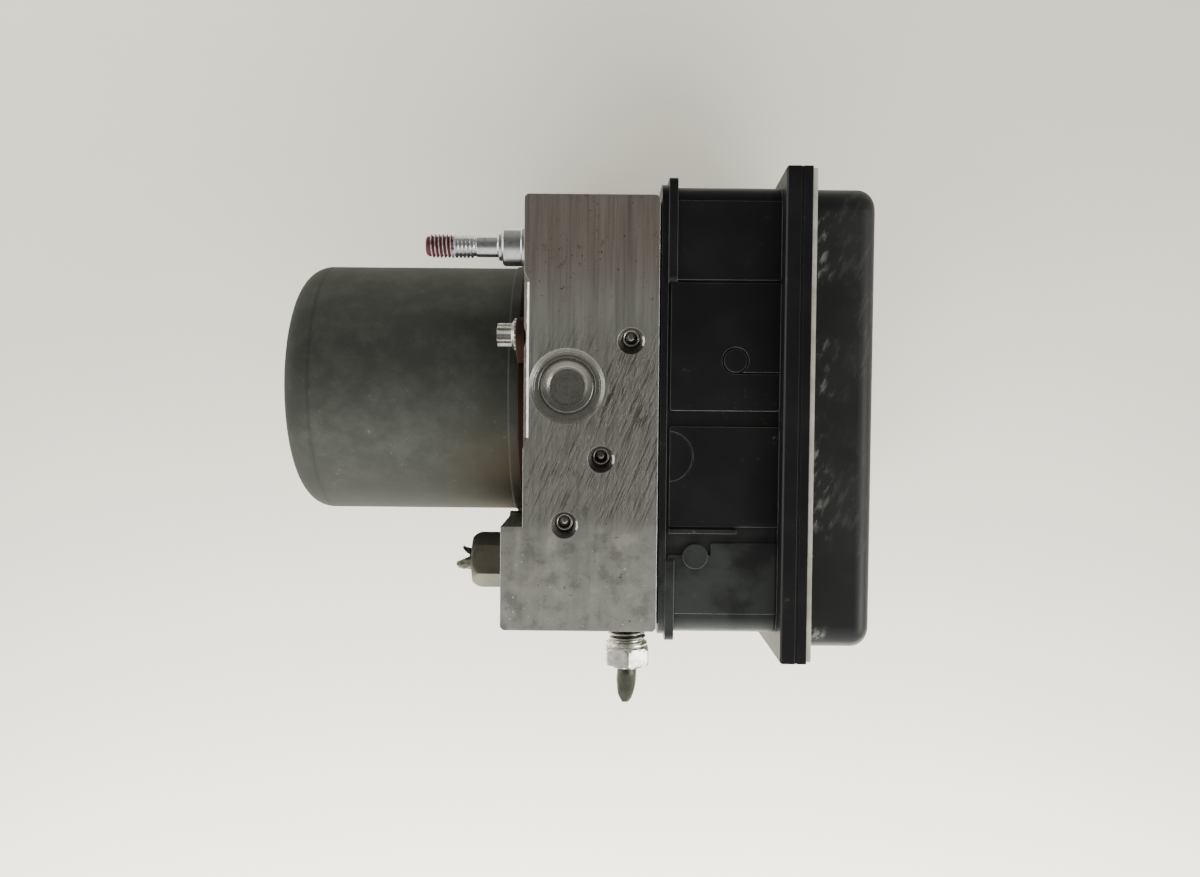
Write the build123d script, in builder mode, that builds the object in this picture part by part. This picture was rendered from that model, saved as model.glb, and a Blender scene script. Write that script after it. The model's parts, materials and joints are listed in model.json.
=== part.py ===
from build123d import *
import os
from math import asin, cos, pi, radians, sin

# Brake hydraulic unit: pump motor, valve block and control unit, in millimetres.
# +X points from the motor to the control unit, +Y across the block away from the wheel ports,
# and +Z is up as the unit lies on its connector side. The origin is on the block's motor face,
# midway between the two mounting studs.

# Fits and clearances
face_gap = 0.2
running_clearance = 0.03
slide_clearance = 0.04
part_gap = 0.3

# Valve block
block_depth = 34.0
block_length = 109.8
block_half_height = 44.0
stud_edge = 12.0
motor_drop = 36.0
step_length = 26.3
step_depth = 5.5
edge_break = 0.8
relief_middle = -29.5
relief_length = 45.0
relief_depth = 0.95
relief_run_out = 3.0

# Motor can
can_radius = 35.0
can_wall = 2.0
can_length = 57.8
can_corner = 7.0
dome_rise = 5.0
flange_thick = 2.0
flange_width = 2.0
bead_rise = 0.4
bead_width = 2.4
ear_angle = 72.0
ear_reach = 2.8
ear_radius = 5.4

# Motor screws
screw_radius = 2.4
screw_depth = 9.0
screw_disc_radius = 4.3
screw_disc_thick = 1.4
screw_head_radius = 3.1
screw_head_height = 3.8
screw_lobes = 6

# Motor inside
shaft_radius = 4.0
shaft_nose = 3.0
brush_plate_thick = 8.0
plate_clear = 1.5
bearing_radius = 11.0
bearing_width = 7.0
bush_radius = 8.0
bush_length = 6.0
core_radius = 22.0
core_room = 29.0
core_slots = 10
core_slot_width = 3.4
core_slot_depth = 9.0
core_hub_radius = 8.5
end_turn_length = 3.6
magnet_thick = 8.0
magnet_overhang = 2.5
magnet_angle = 130.0
air_gap = 0.8
commutator_radius = 9.0
commutator_length = 11.0
commutator_bars = 10
commutator_slot = 0.6
brush_length = 11.0
brush_width = 5.0
brush_depth = 7.0
brush_travel = 3.0
brush_guide_wall = 1.5
terminal_radius = 1.2
terminal_spread = 3.2
terminal_bore_radius = 4.0
terminal_rise = 27.0
seal_radius = 19.0
seal_section = 1.1

# Pump
pump_offset = 11.0
pump_throw = 0.8
journal_radius = 5.6
journal_length = 9.0
ring_radius = 9.0
ring_width = 7.0
cavity_radius = 14.0
cavity_depth = 24.0
piston_radius = 4.0
spring_room = 6.9
plug_radius = 9.5
plug_length = 8.0
plug_step_radius = 6.65
plug_dish_radius = 4.35
plug_dish_depth = 1.5
plug_groove_depth = 0.9
plug_rim = 1.1
spring_wire_radius = 0.45
spring_turns = 3

# Accumulators
accumulator_radius = 11.0
accumulator_share = 0.43
accumulator_travel = 8.0
accumulator_spare = 6.0
accumulator_piston_length = 12.0
accumulator_wall = 2.2
accumulator_floor = 2.4
accumulator_cap_thick = 4.0
accumulator_cap_sink = 1.3
accumulator_wire_radius = 0.9
accumulator_turns = 3

# Ball plugs, each at a depth from the motor face and a rise above the motor axis; the first
# takes its depth from the unit's face
ball_radius = 1.9
ball_bore_radius = 2.0
ball_bore_depth = 5.0
ball_sink_radius = 3.4
ball_1_side = 7.0
ball_1_rise = 11.5
ball_2_place = (19.7, -18.3)
ball_3_place = (10.6, -35.0)
drill_radius = 1.5

# Solenoid valves
valve_outer_share = 0.7833
valve_inner_share = 0.3585
inlet_row_drop = 38.0
outlet_row_drop = 19.0
valve_share = 0.646
valve_depth = 19.0
dome_length = 17.0
dome_wall = 0.5
plunger_share = 0.299
plunger_length = 11.0
plunger_travel = 0.4
coil_share = 0.206
coil_length = 19.4

# Ports
outlet_radius = 5.0
outlet_depth = 13.0
outlet_side = 7.0
inlet_radius = 6.0
inlet_depth = 13.0
inlet_side = 20.0
inlet_rise = 15.0

# Mounting studs
stud_side = 8.0
stud_radius = 3.0
stud_thread_length = 12.7
stud_shank_radius = 2.75
stud_shank_length = 6.0
stud_ring_radius = 3.65
stud_ring_length = 1.0
stud_collar_radius = 5.0
stud_collar_length = 5.0
stud_washer_radius = 5.5
stud_washer_thick = 1.0
stud_root = 10.0

# Pipe nuts and the torn pipe ends left in them
outlet_nut_flats = 11.0
outlet_nut_hex = 5.4
outlet_nut_collar_radius = 5.4
outlet_nut_collar = 1.3
outlet_nut_thread_shown = 4.7
outlet_pipe_radius = 2.6
outlet_pipe_shown = 10.3
inlet_nut_flats = 13.0
inlet_nut_hex = 9.15
inlet_pipe_radius = 2.9
inlet_pipe_shown = 4.6
pipe_bore_share = 0.62
nut_sides = 6
outlet_nut_turn = 30.0
inlet_nut_turn = 10.0
pinch_share = 0.55
pinch_middle = (0.92, 0.7)
pinch_middle_shift = 0.1
pinch_tip = (0.38, 0.22)
pinch_tip_shift = 0.4
torn_share = 0.1
torn_tip = (0.5, 0.3)
torn_tip_shift = 1.45

# Control unit
gasket_thick = 0.5
gasket_edge = 1.0
gasket_width = 2.6
housing_length = 113.2
housing_overhang = 0.7
housing_side = 1.0
housing_drop = 42.0
housing_depth = 30.0
housing_wall = 2.4
housing_floor = 2.6
housing_corner = 4.0
rim_thick = 1.7
rim_lip = 0.7
fin_thick = 2.2
fin_rise = 1.7
fin_high_reach = 24.5
fin_low_reach = 20.1
fin_foot = 1.6
flange_depth = 6.5
flange_side_lip = 6.25
flange_high_lip = 1.9
flange_low_lip = 5.9
flange_ear_rise = 1.7
flange_ear_length = 18.0
flange_bevel = 0.4
flange_groove = 0.6
flange_groove_inset = 2.2
panel_proud = 0.6
panel_gap = 0.8
panel_2_top = 26.2
panel_2_length = 32.0
panel_3_top = -9.9
panel_3_length = 25.2
panel_4_top = -39.3
panel_4_length = 17.9
bar_top = -35.8
bar_width = 1.0
bar_reach = 17.0
key_mark_radius = 3.4
key_mark_rise = 6.8
key_mark_inset = 11.2
mark_line = 0.5
half_mark_radius = 6.5
half_mark_rise = -17.55
round_boss_radius = 3.1
round_boss_rise = -42.6
round_boss_inset = 6.7
pocket_top = -37.3
pocket_length = 5.1
pocket_reach = 10.7
post_radius = 2.6
post_inset = 14.0
seal_thick = 1.2
seal_inset = 0.5
cover_depth = 16.1
cover_wall = 2.2
cover_high_inset = 3.8
cover_low_inset = 2.4
cover_side_inset = 4.5
cover_corner = 6.0
cover_edge_radius = 4.5
board_thick = 1.6
board_gap = 1.2
board_margin = 0.6
chip_height = 1.6
chip_size = 14.0
small_chip = (7.0, 4.6)

# Connector
shroud_length = 64.0
shroud_height = 40.0
shroud_reach = 50.0
shroud_wall = 2.4
shroud_corner = 5.0
shroud_gap = 6.0
shroud_rise = 26.0
shroud_floor_depth = 14.0
key_spread = 16.0
catch_back = 16.7
catch_radius = 3.0
catch_height = 2.4
pin_length = 9.0
pin_size = 0.64
pin_columns = 9
pin_rows = 2
pin_pitch = 2.6
pin_shift = 7.8
blade_edge = 9.8
blade_width = 4.2
blade_thick = 0.9
blade_pitch = 7.0
blade_count = 4

# Control unit screws
unit_screw_radius = 2.0
unit_screw_length = 14.0
unit_screw_head_radius = 3.6
unit_screw_head_height = 2.6
unit_screw_rise = 41.5
unit_screw_side = 8.0
unit_screw_drop = 55.0

# Places that follow from the sizes above
motor_y = -motor_drop
block_top = stud_edge
block_bottom = block_top - block_length
motor_axis = Axis((0, motor_y, 0), (1, 0, 0))
full_turn = 360.0
quarter_turn = 90.0
half_right_angle = 45.0
nut_corner = 1 / cos(pi / nut_sides)
sides = (1, -1)
motor_face = Plane.YZ
unit_face = Plane.YZ.offset(block_depth)
can_end = -can_length - can_corner - dome_rise
ear_angles = [ear_angle, full_turn / 2, -ear_angle]
flange_radius = can_radius + flange_width
ear_pitch_radius = flange_radius + ear_reach
ear_spots = [
    (motor_y + ear_pitch_radius * cos(radians(a)), ear_pitch_radius * sin(radians(a)))
    for a in ear_angles
]
stud_half_pitch = block_half_height - stud_side
stud_spots = [(0, stud_half_pitch), (0, -stud_half_pitch)]
inlet_y = block_bottom + inlet_rise
inlet_offset = block_half_height - inlet_side
inlet_spots = [(inlet_y, inlet_offset), (inlet_y, -inlet_offset)]
outlet_inset = block_depth - outlet_side
unit_room = block_half_height - housing_side - housing_wall
valve_outer = unit_room * valve_outer_share
valve_inner = valve_outer * valve_inner_share
coil_radius = unit_room * coil_share
valve_radius = coil_radius * valve_share
plunger_radius = coil_radius * plunger_share
outlet_heights = [valve_outer, valve_inner, -valve_inner, -valve_outer]
accumulator_inset = block_depth / 2
accumulator_offset = block_half_height * accumulator_share
accumulator_depth = (
    accumulator_piston_length + accumulator_travel + accumulator_spare + accumulator_cap_thick
)
ball_places = [(block_depth - ball_1_side, ball_1_rise), ball_2_place, ball_3_place]
valve_heights = outlet_heights
valve_rows = {"inlet": motor_y - inlet_row_drop, "outlet": motor_y - outlet_row_drop}
plug_floor = block_half_height - plug_length
unit_start = block_depth + gasket_thick
housing_end = unit_start + housing_depth
housing_top = block_half_height - housing_side
coil_start = unit_start + housing_floor
board_start = coil_start + coil_length + board_gap
flange_end = housing_end + flange_depth
housing_low_y = block_bottom - housing_overhang
housing_high_y = housing_low_y + housing_length
housing_low_z = -block_half_height - housing_drop
flange_low_y = housing_low_y - flange_low_lip
flange_high_y = housing_high_y + flange_high_lip
flange_low_z = housing_low_z - flange_side_lip
flange_high_z = housing_top + flange_side_lip
unit_screw_spread = block_half_height - unit_screw_side
unit_screw_low_spread = (valve_outer + valve_inner) / 2
unit_screw_spots = [
    (motor_y + unit_screw_rise, unit_screw_spread),
    (motor_y + unit_screw_rise, -unit_screw_spread),
    (motor_y - unit_screw_drop, unit_screw_low_spread),
    (motor_y - unit_screw_drop, -unit_screw_low_spread),
]


def radial(x, r):
    """A point in the XY plane at distance r from the motor axis."""
    return (x, motor_y + r)


def rectangle_between(y0, y1, z0, z1, corner):
    """A rounded rectangle in the open sketch, by its limits along Y and Z."""
    with Locations(((y0 + y1) / 2, (z0 + z1) / 2)):
        RectangleRounded(abs(y1 - y0), abs(z1 - z0), corner)


def save(part, name):
    """Label a finished piece and write its file."""
    part.label = name
    export_step(part, f"parts/{name}.step")


os.makedirs("parts", exist_ok=True)

# The block: a milled bar with a step for the inlet ports, bored from five faces
with BuildPart() as valve_block:
    with BuildSketch(Plane.XY.offset(-block_half_height)):
        with BuildLine():
            Polyline(
                (0, block_top),
                (block_depth, block_top),
                (block_depth, block_bottom),
                (-step_depth, block_bottom),
                (-step_depth, block_bottom + step_length),
                (0, block_bottom + step_length),
                close=True,
            )
        make_face()
    extrude(amount=2 * block_half_height)
    outer_edges = valve_block.edges().filter_by(Axis.Z).sort_by(Axis.Y)
    chamfer(outer_edges[:2] + outer_edges[-2:], length=edge_break)
    # Room in the step for the motor's round flange and its lowest ear
    with BuildSketch(motor_face):
        with Locations((motor_y, 0)):
            Circle(flange_radius + bead_rise)
        with Locations(*ear_spots):
            Circle(ear_radius + 2 * bead_rise)
    extrude(amount=-step_depth, mode=Mode.SUBTRACT)
    # Bevelled relief along the motor face's upper edge, running out at both ends
    relief_plane = Plane(
        origin=(0, relief_middle, block_half_height), x_dir=(0, 1, 0), z_dir=(1, 0, -1)
    )
    with BuildSketch(relief_plane):
        Rectangle(relief_length, 4 * relief_run_out)
    with BuildSketch(relief_plane.offset(relief_depth)):
        Rectangle(relief_length - 2 * relief_run_out, 2 * relief_run_out)
    loft(mode=Mode.SUBTRACT)
    # Eccentric chamber, terminal passage and the threaded holes of the motor side
    with BuildSketch(motor_face):
        with Locations((motor_y, 0)):
            Circle(cavity_radius)
    extrude(amount=cavity_depth, mode=Mode.SUBTRACT)
    with BuildSketch(motor_face):
        with Locations((motor_y + terminal_rise, 0)):
            Circle(terminal_bore_radius)
    extrude(amount=block_depth, mode=Mode.SUBTRACT)
    with BuildSketch(motor_face):
        with Locations(*ear_spots):
            Circle(screw_radius)
    extrude(amount=screw_depth + part_gap, mode=Mode.SUBTRACT)
    with BuildSketch(motor_face):
        with Locations(*stud_spots):
            Circle(stud_radius)
    extrude(amount=stud_root + part_gap, mode=Mode.SUBTRACT)
    # Pump cross bore, with a plug seat at each end
    pump_centre = Location((pump_offset, motor_y, 0))
    with Locations(pump_centre):
        Cylinder(piston_radius + slide_clearance, 2 * block_half_height, mode=Mode.SUBTRACT)
    for side in sides:
        with Locations((pump_offset, motor_y, side * (block_half_height - plug_length / 2))):
            Cylinder(plug_radius, plug_length, mode=Mode.SUBTRACT)
    # Accumulator bores from the +Y face, each with its return drilling
    for side in sides:
        with BuildSketch(Plane.XZ.offset(-block_top)):
            with Locations((accumulator_inset, side * accumulator_offset)):
                Circle(accumulator_radius)
        extrude(amount=accumulator_depth, mode=Mode.SUBTRACT)
        with BuildSketch(Plane.XZ.offset(-block_top)):
            with Locations((ball_2_place[0], side * accumulator_offset)):
                Circle(drill_radius)
        extrude(amount=block_top - motor_y - ball_2_place[1], mode=Mode.SUBTRACT)
    # Wheel ports, each with a drilling that runs through its two valve bores
    with BuildSketch(Plane.XZ.offset(-block_bottom)):
        with Locations(*[(outlet_inset, z) for z in outlet_heights]):
            Circle(outlet_radius)
    extrude(amount=-outlet_depth, mode=Mode.SUBTRACT)
    with BuildSketch(Plane.XZ.offset(-block_bottom)):
        with Locations(*[(outlet_inset, z) for z in outlet_heights]):
            Circle(drill_radius)
    extrude(amount=block_bottom - valve_rows["outlet"], mode=Mode.SUBTRACT)
    # Master cylinder ports on the step
    with BuildSketch(motor_face.offset(-step_depth)):
        with Locations(*inlet_spots):
            Circle(inlet_radius)
    extrude(amount=inlet_depth, mode=Mode.SUBTRACT)
    with BuildSketch(motor_face.offset(-step_depth)):
        with Locations(*inlet_spots):
            Circle(drill_radius)
    extrude(amount=step_depth + ball_3_place[0], mode=Mode.SUBTRACT)
    # Valve bores
    with BuildSketch(unit_face):
        with Locations(*[(y, z) for y in valve_rows.values() for z in valve_heights]):
            Circle(valve_radius)
    extrude(amount=-valve_depth, mode=Mode.SUBTRACT)
    with BuildSketch(unit_face):
        with Locations(*unit_screw_spots):
            Circle(unit_screw_radius)
    extrude(amount=-unit_screw_length, mode=Mode.SUBTRACT)
    # Ball-plugged drillings from the upper end of the block
    for depth, rise in ball_places:
        with Locations(Location((depth, motor_y + rise, block_half_height))):
            CounterSinkHole(ball_bore_radius, ball_sink_radius, depth=ball_bore_depth)
    for (depth, rise), drill_end in zip(ball_places[1:], (-accumulator_offset, -inlet_offset)):
        with BuildSketch(Plane.XY.offset(drill_end)):
            with Locations((depth, motor_y + rise)):
                Circle(drill_radius)
        extrude(amount=block_half_height - ball_bore_depth - drill_end, mode=Mode.SUBTRACT)
save(valve_block.part, "valve_block")

# Motor can: drawn from one sheet, with a domed end, a bead, a flat flange and three ears
dome_base = can_radius - can_corner
dome_sphere = (dome_base**2 + dome_rise**2) / (2 * dome_rise)
dome_half_angle = asin(dome_base / dome_sphere) / 2


def dome_middle(end_x, sphere):
    """A point half way along the dome's arc."""
    return radial(end_x + sphere * (1 - cos(dome_half_angle)), sphere * sin(dome_half_angle))


with BuildPart() as motor_can:
    with BuildSketch(Plane.XY):
        with BuildLine():
            wall_line = Polyline(
                radial(can_end, 0),
                radial(0, 0),
                radial(0, flange_radius),
                radial(-flange_thick, flange_radius),
                radial(-flange_thick, can_radius + bead_rise),
                radial(-flange_thick - bead_width, can_radius + bead_rise),
                radial(-flange_thick - bead_width - bead_rise, can_radius),
                radial(-can_length, can_radius),
            )
            corner_arc = JernArc(wall_line @ 1, (-1, 0), can_corner, quarter_turn)
            ThreePointArc(corner_arc @ 1, dome_middle(can_end, dome_sphere), wall_line @ 0)
        make_face()
    revolve(axis=motor_axis)
    with BuildSketch(motor_face):
        with Locations(*ear_spots):
            Circle(ear_radius)
        for ear_y, ear_z in ear_spots:
            with Locations(((ear_y + motor_y) / 2, ear_z / 2)):
                Rectangle(
                    ear_pitch_radius,
                    2 * ear_radius,
                    rotation=ear_angles[ear_spots.index((ear_y, ear_z))],
                )
    extrude(amount=-flange_thick)
    with BuildSketch(motor_face):
        with Locations(*ear_spots):
            Circle(screw_radius + part_gap)
    extrude(amount=-flange_thick, mode=Mode.SUBTRACT)
    with BuildSketch(Plane.XY):
        with BuildLine():
            Polyline(
                radial(can_end + can_wall, 0),
                radial(0, 0),
                radial(0, can_radius - can_wall),
                radial(-can_length, can_radius - can_wall),
                radial(-can_length - can_corner + can_wall / 2, can_radius - can_corner),
                radial(can_end + can_wall, bush_radius + part_gap),
                close=True,
            )
        make_face()
    revolve(axis=motor_axis, mode=Mode.SUBTRACT)
save(motor_can.part, "motor_can")

# Motor screws: flanged, with a six-pointed head
with BuildPart() as motor_screws:
    disc_start = -flange_thick
    head_start = disc_start - screw_disc_thick
    with BuildSketch(motor_face.offset(disc_start)):
        with Locations(*ear_spots):
            Circle(screw_radius)
    extrude(amount=screw_depth + flange_thick)
    with BuildSketch(motor_face.offset(disc_start)):
        with Locations(*ear_spots):
            Circle(screw_disc_radius)
    extrude(amount=-screw_disc_thick)
    with BuildSketch(motor_face.offset(head_start)):
        for ear_y, ear_z in ear_spots:
            with Locations((ear_y, ear_z)):
                RegularPolygon(screw_head_radius, screw_lobes // 2)
                RegularPolygon(screw_head_radius, screw_lobes // 2, rotation=full_turn / screw_lobes)
    extrude(amount=-screw_head_height)
save(motor_screws.part, "motor_screws")

# Seal ring between the can's brush plate and the block
with BuildPart() as motor_seal:
    with BuildSketch(motor_face):
        with Locations((motor_y, 0)):
            Circle(seal_radius + seal_section)
            Circle(seal_radius - seal_section, mode=Mode.SUBTRACT)
    extrude(amount=-2 * seal_section)
save(motor_seal.part, "motor_seal")

# Rotor
plate_back = -brush_plate_thick
commutator_end = plate_back - 2 * face_gap - plate_clear
commutator_start = commutator_end - commutator_length
winding_front = commutator_start - face_gap
core_front = winding_front - end_turn_length
core_length = can_length - core_room
core_back = core_front - core_length
bush_back = can_end + can_wall
shaft_back = bush_back + face_gap
shaft_front = pump_offset + journal_length / 2 + shaft_nose
journal_y = motor_y + pump_throw
journal_back = pump_offset - journal_length / 2

with BuildPart() as motor_shaft:
    with BuildSketch(Plane.YZ.offset(shaft_back)):
        with Locations((motor_y, 0)):
            Circle(shaft_radius)
    extrude(amount=shaft_front - shaft_back)
    with BuildSketch(Plane.YZ.offset(journal_back)):
        with Locations((journal_y, 0)):
            Circle(journal_radius)
    extrude(amount=journal_length)
    chamfer(motor_shaft.faces().sort_by(Axis.X)[-1].edges(), length=edge_break)
    chamfer(motor_shaft.faces().sort_by(Axis.X)[0].edges(), length=edge_break)
save(motor_shaft.part, "motor_shaft")

with BuildPart() as eccentric_ring:
    with BuildSketch(Plane.YZ.offset(pump_offset)):
        with Locations((journal_y, 0)):
            Circle(ring_radius)
            Circle(journal_radius + running_clearance, mode=Mode.SUBTRACT)
    extrude(amount=ring_width / 2, both=True)
save(eccentric_ring.part, "eccentric_ring")

with BuildPart() as armature_core:
    with BuildSketch(Plane.YZ.offset(core_back)):
        with Locations((motor_y, 0)):
            Circle(core_radius)
            Circle(shaft_radius, mode=Mode.SUBTRACT)
            with PolarLocations(core_radius - core_slot_depth / 2, core_slots):
                Rectangle(core_slot_depth, core_slot_width, mode=Mode.SUBTRACT)
    extrude(amount=core_length)
save(armature_core.part, "armature_core")

turn_inner = core_radius - core_slot_depth
turn_outer = core_radius - air_gap
with BuildPart() as armature_winding:
    with BuildSketch(Plane.YZ.offset(core_back - end_turn_length)):
        with Locations((motor_y, 0)):
            with PolarLocations(
                (turn_inner + turn_outer) / 2 + face_gap, core_slots
            ):
                Rectangle(turn_outer - turn_inner, core_slot_width - 2 * face_gap)
    extrude(amount=core_length + 2 * end_turn_length)
    for ring_start in (core_back - end_turn_length, core_front + face_gap):
        with BuildSketch(Plane.YZ.offset(ring_start)):
            with Locations((motor_y, 0)):
                Circle(turn_outer)
                Circle(core_hub_radius, mode=Mode.SUBTRACT)
        extrude(amount=end_turn_length - face_gap)
save(armature_winding.part, "armature_winding")

with BuildPart() as commutator:
    with BuildSketch(Plane.YZ.offset(commutator_start)):
        with Locations((motor_y, 0)):
            Circle(commutator_radius)
            Circle(shaft_radius, mode=Mode.SUBTRACT)
            with PolarLocations(commutator_radius, commutator_bars):
                Rectangle(2 * commutator_slot, commutator_slot, mode=Mode.SUBTRACT)
    extrude(amount=commutator_length)
save(commutator.part, "commutator")

# Two magnet shells bonded inside the can
magnet_outer = can_radius - can_wall
magnet_inner = magnet_outer - magnet_thick
magnet_length = core_length + 2 * magnet_overhang
magnet_start = core_back - magnet_overhang
for number, middle_angle in enumerate((quarter_turn, -quarter_turn), start=1):
    with BuildPart() as magnet:
        with BuildSketch(Plane.YZ.offset(magnet_start)):
            with Locations((motor_y, 0)):
                Circle(magnet_outer)
                Circle(magnet_inner, mode=Mode.SUBTRACT)
            with BuildLine():
                reach = 2 * can_radius
                first = radians(middle_angle - magnet_angle / 2)
                last = radians(middle_angle + magnet_angle / 2)
                centre = radians(middle_angle)
                Polyline(
                    (motor_y, 0),
                    (motor_y + reach * cos(first), reach * sin(first)),
                    (motor_y + 2 * reach * cos(centre), 2 * reach * sin(centre)),
                    (motor_y + reach * cos(last), reach * sin(last)),
                    close=True,
                )
            make_face(mode=Mode.INTERSECT)
        extrude(amount=magnet_length)
    save(magnet.part, f"magnet_{number}")

with BuildPart() as rear_bush:
    with BuildSketch(Plane.YZ.offset(bush_back)):
        with Locations((motor_y, 0)):
            Circle(bush_radius)
            Circle(shaft_radius + running_clearance, mode=Mode.SUBTRACT)
    extrude(amount=bush_length)
save(rear_bush.part, "rear_bush")

# Brush plate with its bearing seat, two brush guides and the brushes
guide_start = commutator_radius + 2 * part_gap
guide_half_width = brush_width / 2 + brush_guide_wall
brush_middle_x = plate_back - brush_depth / 2 - 2 * part_gap
with BuildPart() as brush_plate:
    with BuildSketch(Plane.YZ.offset(plate_back)):
        with Locations((motor_y, 0)):
            Circle(can_radius - can_wall)
    extrude(amount=brush_plate_thick - face_gap)
    with BuildSketch(Plane.YZ.offset(plate_back)):
        with Locations((motor_y, 0)):
            Circle(shaft_radius + 2 * part_gap)
    extrude(amount=brush_plate_thick, mode=Mode.SUBTRACT)
    with BuildSketch(Plane.YZ.offset(-face_gap)):
        with Locations((motor_y, 0)):
            Circle(bearing_radius)
    extrude(amount=-bearing_width, mode=Mode.SUBTRACT)
    with BuildSketch(Plane.YZ.offset(-face_gap)):
        with Locations((motor_y, 0)):
            Circle(seal_radius + seal_section)
            Circle(seal_radius - seal_section, mode=Mode.SUBTRACT)
    extrude(amount=-2 * seal_section, mode=Mode.SUBTRACT)
    guide_length = brush_length + 2 * brush_travel
    for side in sides:
        guide_middle = motor_y + side * (guide_start + guide_length / 2)
        guide_size = brush_depth + 2 * part_gap + brush_guide_wall
        with Locations((plate_back - guide_size / 2, guide_middle, 0)):
            Box(guide_size, guide_length, 2 * guide_half_width)
        with Locations((brush_middle_x, guide_middle, 0)):
            Box(
                brush_depth + 2 * slide_clearance,
                guide_length,
                brush_width + 2 * slide_clearance,
                mode=Mode.SUBTRACT,
            )
save(brush_plate.part, "brush_plate")

for number, side in enumerate(sides, start=1):
    with BuildPart() as brush:
        brush_middle = motor_y + side * (commutator_radius + face_gap + brush_length / 2)
        with Locations((brush_middle_x, brush_middle, 0)):
            Box(brush_depth, brush_length, brush_width)
        tip_edges = brush.faces().sort_by(Axis.Y)[0 if side > 0 else -1].edges()
        chamfer(tip_edges.filter_by(Axis.X), length=edge_break / 2)
    save(brush.part, f"brush_{number}")

with BuildPart() as front_bearing:
    with BuildSketch(Plane.YZ.offset(-face_gap)):
        with Locations((motor_y, 0)):
            Circle(bearing_radius)
            Circle(shaft_radius + running_clearance, mode=Mode.SUBTRACT)
    extrude(amount=-bearing_width)
save(front_bearing.part, "front_bearing")

# Two motor terminals run from the brush plate through the block to the circuit board
with BuildPart() as motor_terminals:
    with BuildSketch(Plane.YZ.offset(-face_gap)):
        with Locations(
            (motor_y + terminal_rise - terminal_spread / 2, 0),
            (motor_y + terminal_rise + terminal_spread / 2, 0),
        ):
            Circle(terminal_radius)
    extrude(amount=board_start + face_gap)
save(motor_terminals.part, "motor_terminals")

# Pump: two opposed pistons in the cross bore, closed by staked plugs
piston_tip = ring_radius + pump_throw + part_gap
piston_tail = plug_floor - spring_room
piston_length = piston_tail - piston_tip
spring_radius = piston_radius - spring_wire_radius - part_gap
spring_space = plug_floor - piston_tail - 2 * face_gap
for number, side in enumerate(sides, start=1):
    with BuildPart() as pump_piston:
        with BuildSketch(Plane.XY.offset(side * piston_tip)):
            with Locations((pump_offset, motor_y)):
                Circle(piston_radius)
        extrude(amount=side * piston_length)
        tip_face = pump_piston.faces().sort_by(Axis.Z)[0 if side > 0 else -1]
        chamfer(tip_face.edges(), length=edge_break)
    save(pump_piston.part, f"pump_piston_{number}")

    with BuildPart() as pump_spring:
        spring_base = side * (piston_tail + face_gap + spring_wire_radius)
        coil_height = spring_space - 2 * spring_wire_radius
        with BuildLine() as coil_line:
            Helix(
                coil_height / spring_turns,
                coil_height,
                spring_radius,
                center=(pump_offset, motor_y, spring_base),
                direction=(0, 0, side),
            )
        with BuildSketch(Plane(origin=coil_line.line @ 0, z_dir=coil_line.line % 0)):
            Rectangle(2 * spring_wire_radius, 2 * spring_wire_radius)
        sweep(is_frenet=True)
    save(pump_spring.part, f"pump_spring_{number}")

    with BuildPart() as pump_plug:
        plug_face = block_half_height - part_gap
        with BuildSketch(Plane.XZ.offset(motor_drop)):
            with BuildLine():
                Polyline(
                    (pump_offset, side * plug_floor),
                    (pump_offset + plug_radius, side * plug_floor),
                    (pump_offset + plug_radius, side * plug_face),
                    (pump_offset + plug_radius - plug_rim, side * plug_face),
                    (pump_offset + plug_radius - plug_rim, side * (plug_face - plug_groove_depth)),
                    (pump_offset + plug_step_radius, side * (plug_face - plug_groove_depth)),
                    (pump_offset + plug_step_radius, side * plug_face),
                    (pump_offset + plug_dish_radius, side * plug_face),
                    (pump_offset + plug_dish_radius, side * (plug_face - plug_dish_depth)),
                    (pump_offset, side * (plug_face - plug_dish_depth)),
                    close=True,
                )
            make_face()
        revolve(axis=Axis((pump_offset, motor_y, 0), (0, 0, 1)))
    save(pump_plug.part, f"pump_plug_{number}")

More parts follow.
